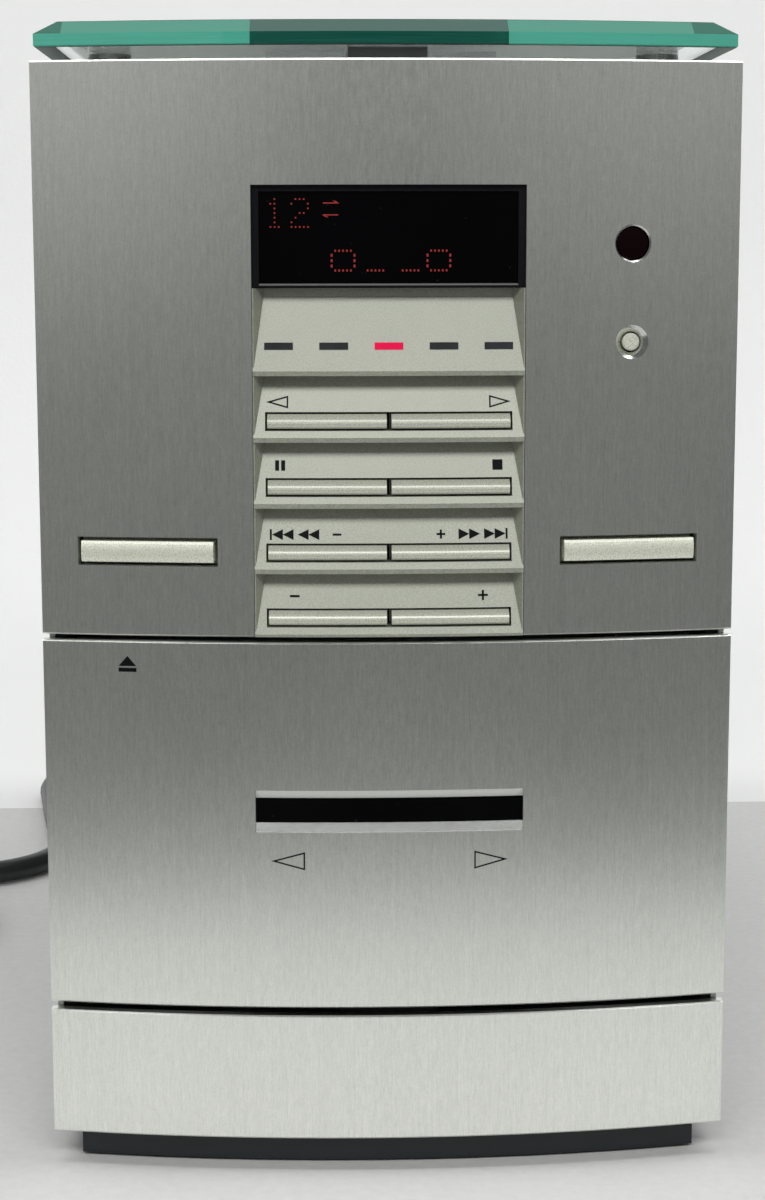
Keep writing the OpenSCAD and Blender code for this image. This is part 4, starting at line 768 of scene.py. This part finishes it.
@dataclass
class MainsLead:
    """The mains lead: out of the rear, round the corner, forward beside the case and into its tied coil.

    Sizes and places are in millimetres, in the row frame. Points are counts along each stretch. The plug's
    sections give how far each goes on and its width and height.
    """

    diameter: float = 6.0
    roundness: int = 5
    exit: Point = (-44.0, 133.0, 20.0)
    straight_end: float = 162.0
    straight_points: int = 4
    bend: float = 27.0
    turn_back: float = 189.0
    bend_points: int = 28
    side_run: float = 68.0
    side_points: int = 4
    corner_points: int = 16
    coil_run: float = 32.0
    run_points: int = 8
    floor_z: float = 3.4
    coil_z: float = 4.4
    coil_radius: float = 48.0
    coil_pitch: float = 7.4
    coil_turns: int = 3
    turn_points: int = 48
    tail: float = 46.0
    tail_points: int = 16
    relief_length: float = 27.0
    relief_flange: float = 6.4
    relief_root: float = 5.4
    relief_taper: float = 0.9
    ribs: int = 5
    tie_far: float = 48.6
    tie_near: float = 20.9
    tie_low: float = 0.4
    tie_top: float = 15.9
    tie_wide: float = 10.0
    tie_round: float = 2.6
    tie_border: float = 1.2
    tie_dip: float = 0.25
    tie_thick: float = 0.8
    plug_z: float = 7.2
    plug_start: float = 6.0
    plug_face: Pair = (11.0, 10.0)
    plug_sections: tuple[Point, ...] = ((-14.0, 13.6, 11.6), (-14.0, 25.8, 13.4), (-9.0, 25.8, 13.4),
                                        (-3.0, 25.0, 12.6))
    plug_round: float = 1.6
    grip_start: float = 18.0
    grip_border: float = 2.2
    grip_dip: float = 0.5
    pin_start: float = 33.0
    pin_long: float = 20.0
    pin_radius: float = 2.0
    pin_out: float = 9.3
    pin_round: float = 0.9

    def arc(self, middle: Pair, start: float, end: float, count: int) -> list[Pair]:
        """Give so many points round an arc from one angle in degrees to another, after its first one."""
        turns = (math.radians(start + (end - start) * i / count) for i in range(1, count + 1))
        return [(middle[0] + self.bend * math.cos(a), middle[1] + self.bend * math.sin(a)) for a in turns]

    @staticmethod
    def line(start: Pair, step: Pair, count: int) -> list[Pair]:
        """Give so many points along a straight run, after its first one."""
        return [(start[0] + step[0] * i / count, start[1] + step[1] * i / count) for i in range(1, count + 1)]

    @staticmethod
    def ease(t: float) -> float:
        """Give a smooth rise from 0 to 1."""
        return (1 - math.cos(math.pi * max(0.0, min(1.0, t)))) / 2

    def plan(self) -> list[Pair]:
        """Lay out the stretch that isn't coiled, as seen from above."""
        x, y, _ = self.exit
        path = [(x, y), *self.line((x, y), (0.0, self.straight_end - y), self.straight_points)]
        path += self.arc((x - self.bend, self.straight_end), 0.0, self.turn_back, self.bend_points)
        back = math.radians(self.turn_back)
        side = (-math.sin(back) * self.side_run, math.cos(back) * self.side_run)
        path += self.line(path[-1], side, self.side_points)
        x, y = path[-1]
        middle = (x + self.bend * math.cos(back), y + self.bend * math.sin(back))
        path += self.arc(middle, self.turn_back - 180, -90.0, self.corner_points)
        return path + self.line(path[-1], (-self.coil_run, 0.0), self.run_points)

    def lead(self) -> list[Point]:
        """Give the stretch that isn't coiled, sinking to the floor round its first bend."""
        plan = self.plan()
        path = []
        for i, (x, y) in enumerate(plan):
            sink = self.ease((i - self.straight_points) / self.bend_points)
            rise = self.ease((i - len(plan) + 1 + self.run_points) / self.run_points)
            z = self.exit[2] + (self.floor_z - self.exit[2]) * sink + (self.coil_z - self.floor_z) * rise
            path.append((x, y, z))
        return path

    def middle(self) -> Pair:
        """Give the coil's middle."""
        x, y = self.plan()[-1]
        return x, y - self.coil_radius

    def coil(self) -> list[Point]:
        """Give the coil, which spirals in on the floor and out again on top, and its tail to the plug."""
        x, y = self.middle()
        reverse = self.coil_turns + 0.25
        inner = self.coil_radius - self.coil_pitch * reverse
        turns = 2 * self.coil_turns + 0.25
        path = []
        for i in range(1, int(turns * self.turn_points) + 1):
            u = i / self.turn_points
            r = inner + self.coil_pitch * abs(reverse - u)
            a = math.radians(90 + 360 * u)
            z = self.coil_z + self.coil_pitch * self.ease((u - self.coil_turns) * 4)
            path.append((x + r * math.cos(a), y + r * math.sin(a), z))
        x, y, z = path[-1]
        for i in range(1, self.tail_points + 1):
            t = i / self.tail_points
            path.append((x, y - self.tail * t, z + (self.plug_z - z) * self.ease(t)))
        return path

    def build(self) -> None:
        path = [Vector(p) * MM for p in self.lead() + self.coil()]
        lead, relief, tie = self.tube(path), self.relief(), self.tie()
        plug, pins = self.plug(path[-1]), self.pins(path[-1])
        pieces = [relief, tie, plug, pins]
        for piece in [lead, *pieces]:
            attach(piece, BODY)
            dress(piece, "cord_pvc")
            LOG.info("made %s", piece.name)
        dress(pins, "pin_nickel")
        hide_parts("mains_cord", "cord_coil")
        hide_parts("mains_plug")

    def tube(self, path: list[Vector]) -> Piece:
        """Make the lead's round tube.

        Args:
            path: The points that it follows, in metres.

        Returns:
            The tube.
        """
        curve = bpy.data.curves.new("mains_lead", "CURVE")
        curve.dimensions = "3D"
        curve.bevel_depth = self.diameter / 2 * MM
        curve.bevel_resolution = self.roundness
        curve.use_fill_caps = True
        spline = curve.splines.new("POLY")
        spline.points.add(len(path) - 1)
        for point, place in zip(spline.points, path):
            point.co = (*place, 1.0)
        spline.use_smooth = True
        lead = bpy.data.objects.new("mains_lead", curve)
        bpy.context.collection.objects.link(lead)
        select(lead)
        bpy.ops.object.convert(target="MESH")
        return settle(lead, "mains_lead", smooth=60)

    def relief(self) -> Piece:
        """Make the ribbed strain relief on the rear panel."""
        middle = tuple(c * MM for c in self.exit)
        thick, slope, tip, bore = 1.5, 0.5, 0.6, self.diameter / 2
        rib = (self.relief_length - thick - slope - tip) / self.ribs
        stations = [(thick, self.relief_flange), (slope, self.relief_flange - slope), (0.0, self.relief_root)]
        for k in range(1, self.ribs + 1):
            wide = self.relief_root - self.relief_taper * k / self.ribs
            stations += [(rib * 0.6, wide + 0.05), (0.0, wide - 0.75), (rib * 0.4, wide - 0.8), (0.0, wide)]
        stations += [(tip, 4.2), (0.0, bore + 0.15), (-thick, bore + 0.1)]
        select()
        bpy.ops.mesh.primitive_circle_add(vertices=40, radius=self.relief_flange * MM, fill_type="NGON",
                                          location=middle, rotation=(-QUARTER, 0, 0))
        piece = settle(bpy.context.object, "strain_relief")
        with editing(piece):
            loft([(a, r, r) for a, r in stations], middle, (self.relief_flange, self.relief_flange))
        return settle(piece, "strain_relief", smooth=30)

    def tie(self) -> Piece:
        """Make the flat tie that holds the coil's strands."""
        x, y = self.middle()
        place = (x, y - (self.tie_far + self.tie_near) / 2, (self.tie_low + self.tie_top) / 2)
        select()
        bpy.ops.mesh.primitive_cube_add(size=1, location=Vector(place) * MM)
        piece = bpy.context.object
        piece.scale = Vector((self.tie_wide, self.tie_far - self.tie_near, self.tie_top - self.tie_low)) * MM
        settle(piece, "coil_tie")
        with editing(piece):
            pick(piece, Element.EDGE, lambda middle, way: abs(way.x) > ALONG)
            bpy.ops.mesh.bevel(offset=self.tie_round * MM, segments=5, affect="EDGES")
            pick(piece, Element.FACE, lambda middle, normal: normal.z > ALONG)
            bpy.ops.mesh.inset(thickness=self.tie_border * MM)
            bpy.ops.transform.translate(value=(0, 0, -self.tie_dip * MM))
            pick(piece, Element.FACE, lambda middle, normal: abs(normal.x) > ALONG)
            bpy.ops.mesh.delete(type="FACE")
        apply_modifier(piece, "SOLIDIFY", thickness=self.tie_thick * MM, offset=-1.0)
        return settle(piece, "coil_tie")

    def plug(self, end: Vector) -> Piece:
        """Make the plug's moulded body.

        Args:
            end: Where the lead runs into it, in metres.

        Returns:
            The body.
        """
        start = end + Vector((0, self.plug_start * MM, 0))
        grip = end.y - self.grip_start * MM
        select()
        bpy.ops.mesh.primitive_plane_add(size=1, location=start, rotation=(-QUARTER, 0, 0))
        piece = bpy.context.object
        piece.scale = (self.plug_face[0] * MM, self.plug_face[1] * MM, 1)
        settle(piece, "lead_plug")
        with editing(piece):
            loft(self.plug_sections, start, self.plug_face)
            pick(piece, Element.EDGE, lambda middle, way: True)
            bpy.ops.mesh.bevel(offset=self.plug_round * MM, segments=3, affect="EDGES", clamp_overlap=True)
            pick(piece, Element.FACE, lambda middle, normal: normal.z > ALONG and middle.y < grip)
            bpy.ops.mesh.inset(thickness=self.grip_border * MM)
            bpy.ops.transform.translate(value=(0, 0, -self.grip_dip * MM))
        return settle(piece, "lead_plug", smooth=40)

    def pins(self, end: Vector) -> Piece:
        """Make the plug's two round-ended pins.

        Args:
            end: Where the lead runs into the plug, in metres.

        Returns:
            The pins as one piece.
        """
        pins = []
        for side in (-1, 1):
            place = end + Vector((side * self.pin_out, -self.pin_start - self.pin_long / 2, 0)) * MM
            select()
            bpy.ops.mesh.primitive_cylinder_add(vertices=28, radius=self.pin_radius * MM,
                                                depth=self.pin_long * MM, location=place,
                                                rotation=(QUARTER, 0, 0))
            pin = settle(bpy.context.object, f"plug_pin_{side}")
            with editing(pin):
                pick(pin, Element.FACE, lambda middle, normal: normal.y < -ALONG)
                bpy.ops.mesh.bevel(offset=self.pin_round * MM, segments=4, affect="EDGES")
            pins.append(pin)
        select(*pins)
        bpy.ops.object.join()
        return settle(bpy.context.object, "plug_pins", smooth=40)


@dataclass
class PrintedSigns:
    """Signs printed on a moulding or plate: flat shapes that are laid on its face.

    Places and sizes are in millimetres, x across and z up from the table. Start is the y, in metres, where
    the shapes are drawn before they are laid back on the face. Slot, the record's slot that the finish is
    from, is not used.
    """

    name: str
    carrier: str
    body: str
    finish: str = "print_black"
    slot: str = "black_plastic"
    thick: float = 0.03
    start: float = -0.16
    piece: Piece | None = None

    def open(self) -> None:
        """Start the piece with nothing in it, open in edit mode."""
        select()
        bpy.ops.mesh.primitive_plane_add(size=MM, location=(0, self.start, 0))
        self.piece = settle(bpy.context.object, self.name)
        bpy.ops.object.mode_set(mode="EDIT")
        bpy.ops.mesh.select_all(action="SELECT")
        bpy.ops.mesh.delete(type="VERT")

    def triangle(self, x: float, z: float, size: Pair, way: Way, line: float = 0.0) -> None:
        """Add a triangle.

        Args:
            x: Its box's middle across.
            z: Its box's middle up.
            size: Its box's width and height.
            way: Where it points.
            line: The line's thickness, or 0 for a filled one.
        """
        wide, high = size
        sign = 1 if way is Way.RIGHT else -1
        at = (x, z - high / 6) if way is Way.UP else (x - sign * wide / 6, z)
        box = (math.sqrt(3), 1.5) if way is Way.UP else (1.5, math.sqrt(3))
        middle = (at[0] * MM, self.start, at[1] * MM)
        bpy.ops.mesh.primitive_circle_add(vertices=3, radius=MM, fill_type="NGON", location=middle,
                                          rotation=(QUARTER, math.radians(way.value), 0))
        bpy.ops.transform.resize(value=(wide / box[0], 1, high / box[1]), center_override=middle)
        if line:
            bpy.ops.mesh.inset(thickness=line * MM)
            bpy.ops.mesh.delete(type="FACE")

    def bar(self, x: float, z: float, size: Pair, lean: float = 0.0) -> None:
        """Add a bar.

        Args:
            x: Its middle across.
            z: Its middle up.
            size: Its width and height.
            lean: Its turn to the right in degrees.
        """
        middle = (x * MM, self.start, z * MM)
        turn = math.radians(lean)
        bpy.ops.mesh.primitive_plane_add(size=MM, location=middle, rotation=(QUARTER, turn, 0))
        bpy.ops.transform.resize(value=(size[0], 1, size[1]), center_override=middle,
                                 orient_matrix=Matrix.Rotation(turn, 3, "Y").transposed(),
                                 orient_type="GLOBAL", orient_matrix_type="GLOBAL")

    def close(self) -> None:
        """Lay the shapes on their carrier and finish them."""
        bpy.ops.mesh.select_all(action="SELECT")
        bpy.ops.mesh.subdivide(number_cuts=1)
        bpy.ops.object.mode_set(mode="OBJECT")
        apply_modifier(self.piece, "SHRINKWRAP", target=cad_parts[self.carrier], wrap_method="PROJECT",
                       use_project_y=True, use_positive_direction=True, use_negative_direction=False)
        apply_modifier(self.piece, "SOLIDIFY", thickness=self.thick * MM, offset=1.0)
        settle(self.piece, self.name)
        dress(self.piece, self.finish)
        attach(self.piece, self.body)
        LOG.info("made %s", self.name)


@dataclass
class ControlSigns:
    """The signs over the four button rows and on the cassette door, with their places and sizes."""

    play: Pair = (20.25, 145.35)
    play_size: Pair = (4.0, 2.25)
    play_line: float = 0.27
    pause_x: Pair = (-20.35, -19.25)
    pause_z: float = 133.8
    pause_size: Pair = (0.72, 1.85)
    stop_x: float = 19.85
    stop_size: Pair = (1.85, 1.85)
    skip_x: tuple[float, ...] = (13.75, 15.7, 18.45, 20.4)
    skip_z: float = 121.15
    skip_size: Pair = (2.0, 1.9)
    skip_end: float = 21.6
    skip_end_size: Pair = (0.36, 1.9)
    tune_x: float = 9.5
    tune_size: Pair = (1.6, 0.38)
    volume: Pair = (17.3, 109.75)
    volume_size: Pair = (1.8, 0.4)
    eject: Pair = (-48.25, 97.75)
    eject_size: Pair = (3.3, 1.9)
    eject_bar: Pair = (-48.25, 96.1)
    eject_bar_size: Pair = (3.3, 0.75)
    reverse: Pair = (18.9, 60.3)
    reverse_size: Pair = (6.3, 3.45)
    reverse_line: float = 0.28

    def build(self) -> None:
        """Make both sets of signs."""
        sides = ((-1, Way.LEFT), (1, Way.RIGHT))
        rows = PrintedSigns("row_signs", "control_fascia", BODY)
        rows.open()
        for side, way in sides:
            rows.triangle(side * self.play[0], self.play[1], self.play_size, way, self.play_line)
            for x in self.skip_x:
                rows.triangle(side * x, self.skip_z, self.skip_size, way)
            rows.bar(side * self.skip_end, self.skip_z, self.skip_end_size)
            rows.bar(side * self.tune_x, self.skip_z, self.tune_size)
            rows.bar(side * self.volume[0], self.volume[1], self.volume_size)
        rows.bar(self.tune_x, self.skip_z, self.tune_size[::-1])
        rows.bar(*self.volume, self.volume_size[::-1])
        for x in self.pause_x:
            rows.bar(x, self.pause_z, self.pause_size)
        rows.bar(self.stop_x, self.pause_z, self.stop_size)
        rows.close()

        door = PrintedSigns("door_signs", "cassette_panel", "cassette_door")
        door.open()
        door.triangle(*self.eject, self.eject_size, Way.UP)
        door.bar(*self.eject_bar, self.eject_bar_size)
        for side, way in sides:
            door.triangle(side * self.reverse[0], self.reverse[1], self.reverse_size, way, self.reverse_line)
        door.close()


@dataclass
class DisplayFigures:
    """The lit dots behind the display's face: two numerals, a double arrow and a row of counter dashes.

    Frames are the counter's figures that an upper row of dashes and uprights close to a frame.
    """

    dot: Pair = (0.27, 0.27)
    pitch: Pair = (0.738, 0.82)
    numerals: tuple[tuple[str, ...], ...] = (
        ("00100", "01100", "00100", "00100", "00100", "00100", "01110"),
        ("01110", "10001", "00001", "00110", "01000", "10000", "11111"),
    )
    numeral_x: Pair = (-21.9, -17.4)
    numeral_z: float = 181.6
    arrow: Pair = (-10.4, 179.85)
    shaft_up: float = 1.05
    shaft_size: Pair = (2.7, 0.2)
    barb: Pair = (0.95, 1.24)
    barb_size: Pair = (0.95, 0.2)
    barb_lean: float = -24.0
    counter_x: tuple[float, ...] = (-8.2, -2.4, 3.9, 9.0)
    counter_z: Pair = (168.95, 172.45)
    frames: tuple[int, ...] = (0, 3)
    dash_size: Pair = (0.3, 0.36)
    dash_steps: tuple[float, ...] = (-1.4, -0.7, 0.0, 0.7, 1.4)
    upright_size: Pair = (0.34, 0.5)
    upright_out: float = 2.05
    upright_steps: tuple[float, ...] = (-0.95, 0.0, 0.95)

    def build(self) -> None:
        """Make the dots as one piece."""
        face = PrintedSigns("display_figures", "display_window", BODY, "display_red", "display_unit")
        face.open()
        for x, rows in zip(self.numeral_x, self.numerals):
            lit = [(i, j) for j, row in enumerate(rows) for i, mark in enumerate(row) if mark == "1"]
            for i, j in lit:
                face.bar(x + i * self.pitch[0], self.numeral_z - j * self.pitch[1], self.dot)
        x, z = self.arrow
        for side in (1, -1):
            face.bar(x, z + side * self.shaft_up, self.shaft_size)
            face.bar(x + side * self.barb[0], z + side * self.barb[1], self.barb_size, self.barb_lean)
        low, high = self.counter_z
        for k, x in enumerate(self.counter_x):
            framed = k in self.frames
            for step in self.dash_steps:
                for z in (low, high) if framed else (low,):
                    face.bar(x + step, z, self.dash_size)
            for step in self.upright_steps if framed else ():
                for side in (-1, 1):
                    face.bar(x + side * self.upright_out, (low + high) / 2 + step, self.upright_size)
        face.close()


@dataclass
class Dressing:
    """Which finish each CAD node gets, where it isn't its record slot's own."""

    rows: tuple[str, ...] = ("reverse_play", "forward_play", "pause", "stop", "skip_back", "skip_forward",
                             "volume_down", "volume_up")

    def build(self) -> None:
        """Dress every CAD node."""
        own = {f"{row}_button": "bar_paint" for row in self.rows}
        # The disc deck's lighter paint is partly painted light, for the light that comes through its glass
        # lid.
        own |= {"control_board": "control_board", "main_board": "main_board", "rear_terminals": "sockets",
                "sound_mode_button": "key_silver", "display_window": "display_acrylic",
                "disc_deck": "deck_paint_painted_light"}
        for name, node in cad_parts.items():
            finish = own.get(name, node.data.materials[0].name)
            dress(node, finish)
            LOG.info("dressed %s in %s", name, finish)


@dataclass(frozen=True)
class Lamp:
    """A soft lamp: where it hangs, what it points at, its width and height in metres, and its watts."""

    name: str
    place: Point
    target: Point
    size: Pair
    power: float

    def build(self) -> None:
        """Hang the lamp."""
        data = bpy.data.lights.new(self.name, "AREA")
        data.shape = "RECTANGLE"
        data.size, data.size_y = self.size
        data.energy = self.power
        lamp = bpy.data.objects.new(self.name, data)
        bpy.context.collection.objects.link(lamp)
        lamp.location = self.place
        lamp.rotation_euler = (Vector(self.target) - Vector(self.place)).to_track_quat("-Z", "Y").to_euler()


@dataclass
class Studio:
    """The table, wall, soft lamps and dim surround, in metres."""

    front: float = -0.2
    back: float = 0.62
    half_width: float = 2.4
    wall: float = 1.1
    sweep_round: float = 0.2
    slack: float = 0.01
    leaf_front: float = -0.334
    leaf_bow: float = 0.413
    leaf_drop: float = 0.0002
    leaf_lap: float = 0.02
    felt: Felt = Felt("table_felt", (0.72, 0.72, 0.715), (0.93, 0.935, 0.93), 150.0)
    surround: Colour = (0.135, 0.137, 0.135)
    lamps: tuple[Lamp, ...] = (
        Lamp("front_lamp", (0.0, -1.14, 0.97), (0.0, -0.14, 0.12), (1.6, 0.36), 10.8),
        Lamp("top_lamp", (0.0, -0.13, 1.3), (0.0, -0.13, 0.0), (2.4, 0.2), 9.0),
        Lamp("left_lamp", (-0.75, -1.3, 0.57), (0.0, -0.12, 0.15), (1.0, 0.8), 0.84),
        Lamp("right_lamp", (0.75, -1.3, 0.57), (0.0, -0.12, 0.15), (1.0, 0.8), 0.5),
        Lamp("wall_lamp", (0.0, 0.1, 1.05), (0.0, 0.62, 0.2), (1.3, 0.3), 1.6),
    )

    def build(self) -> None:
        """Make the stage, the lamps and the surround."""
        felt = self.felt.material()
        for stand in (self.sweep(), self.leaf()):
            stand.data.materials.append(felt)
        for lamp in self.lamps:
            lamp.build()
        world = bpy.data.worlds.new("surround")
        world.use_nodes = True
        world.node_tree.nodes["Background"].inputs["Color"].default_value = (*self.surround, 1.0)
        bpy.context.scene.world = world
        bpy.context.scene.view_settings.view_transform = "Standard"

    def sweep(self) -> Piece:
        """Make the table and wall in one sweep."""
        rear = self.back - self.slack
        select()
        bpy.ops.mesh.primitive_plane_add(size=1, location=(0, (self.front + self.back) / 2, 0))
        sweep = bpy.context.object
        sweep.scale = (2 * self.half_width, self.back - self.front, 1)
        settle(sweep, "table_and_wall")
        with editing(sweep):
            pick(sweep, Element.EDGE, lambda middle, way: middle.y > rear)
            extrude((0, 0, self.wall))
            pick(sweep, Element.EDGE, lambda middle, way: middle.y > rear and abs(middle.z) < self.slack)
            bpy.ops.mesh.bevel(offset=self.sweep_round, segments=12, affect="EDGES")
        return settle(sweep, "table_and_wall", smooth=60)

    def leaf(self) -> Piece:
        """Make the table's bow-fronted leaf, which laps under its front edge."""
        middle = (0, self.leaf_front + self.leaf_bow, -self.leaf_drop)
        cut = (0, self.front + self.leaf_lap, 0)
        select()
        bpy.ops.mesh.primitive_circle_add(vertices=128, radius=self.leaf_bow, fill_type="NGON",
                                          location=middle)
        leaf = settle(bpy.context.object, "table_leaf")
        with editing(leaf):
            bpy.ops.mesh.select_all(action="SELECT")
            bpy.ops.mesh.bisect(plane_co=cut, plane_no=(0, 1, 0), clear_outer=True)
        return leaf


def clear_start() -> None:
    """Remove what a new Blender file holds beside the frame."""
    for name in ("Cube", "Light", "Camera"):
        if name in bpy.data.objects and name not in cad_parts:
            bpy.data.objects.remove(bpy.data.objects[name])


def write_size() -> None:
    """Bring the view layer up to date.
    """
    bpy.context.view_layer.update()


def main() -> None:
    """Build the scene in order."""
    logging.basicConfig(level=logging.INFO, format="%(relativeCreated)d %(name)s: %(message)s")
    clear_start()
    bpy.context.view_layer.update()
    for part in (PhotoCamera(), MainsLead(), Dressing(), ControlSigns(), DisplayFigures(), Studio()):
        part.build()
    write_size()


if __name__ == "__main__":
    main()
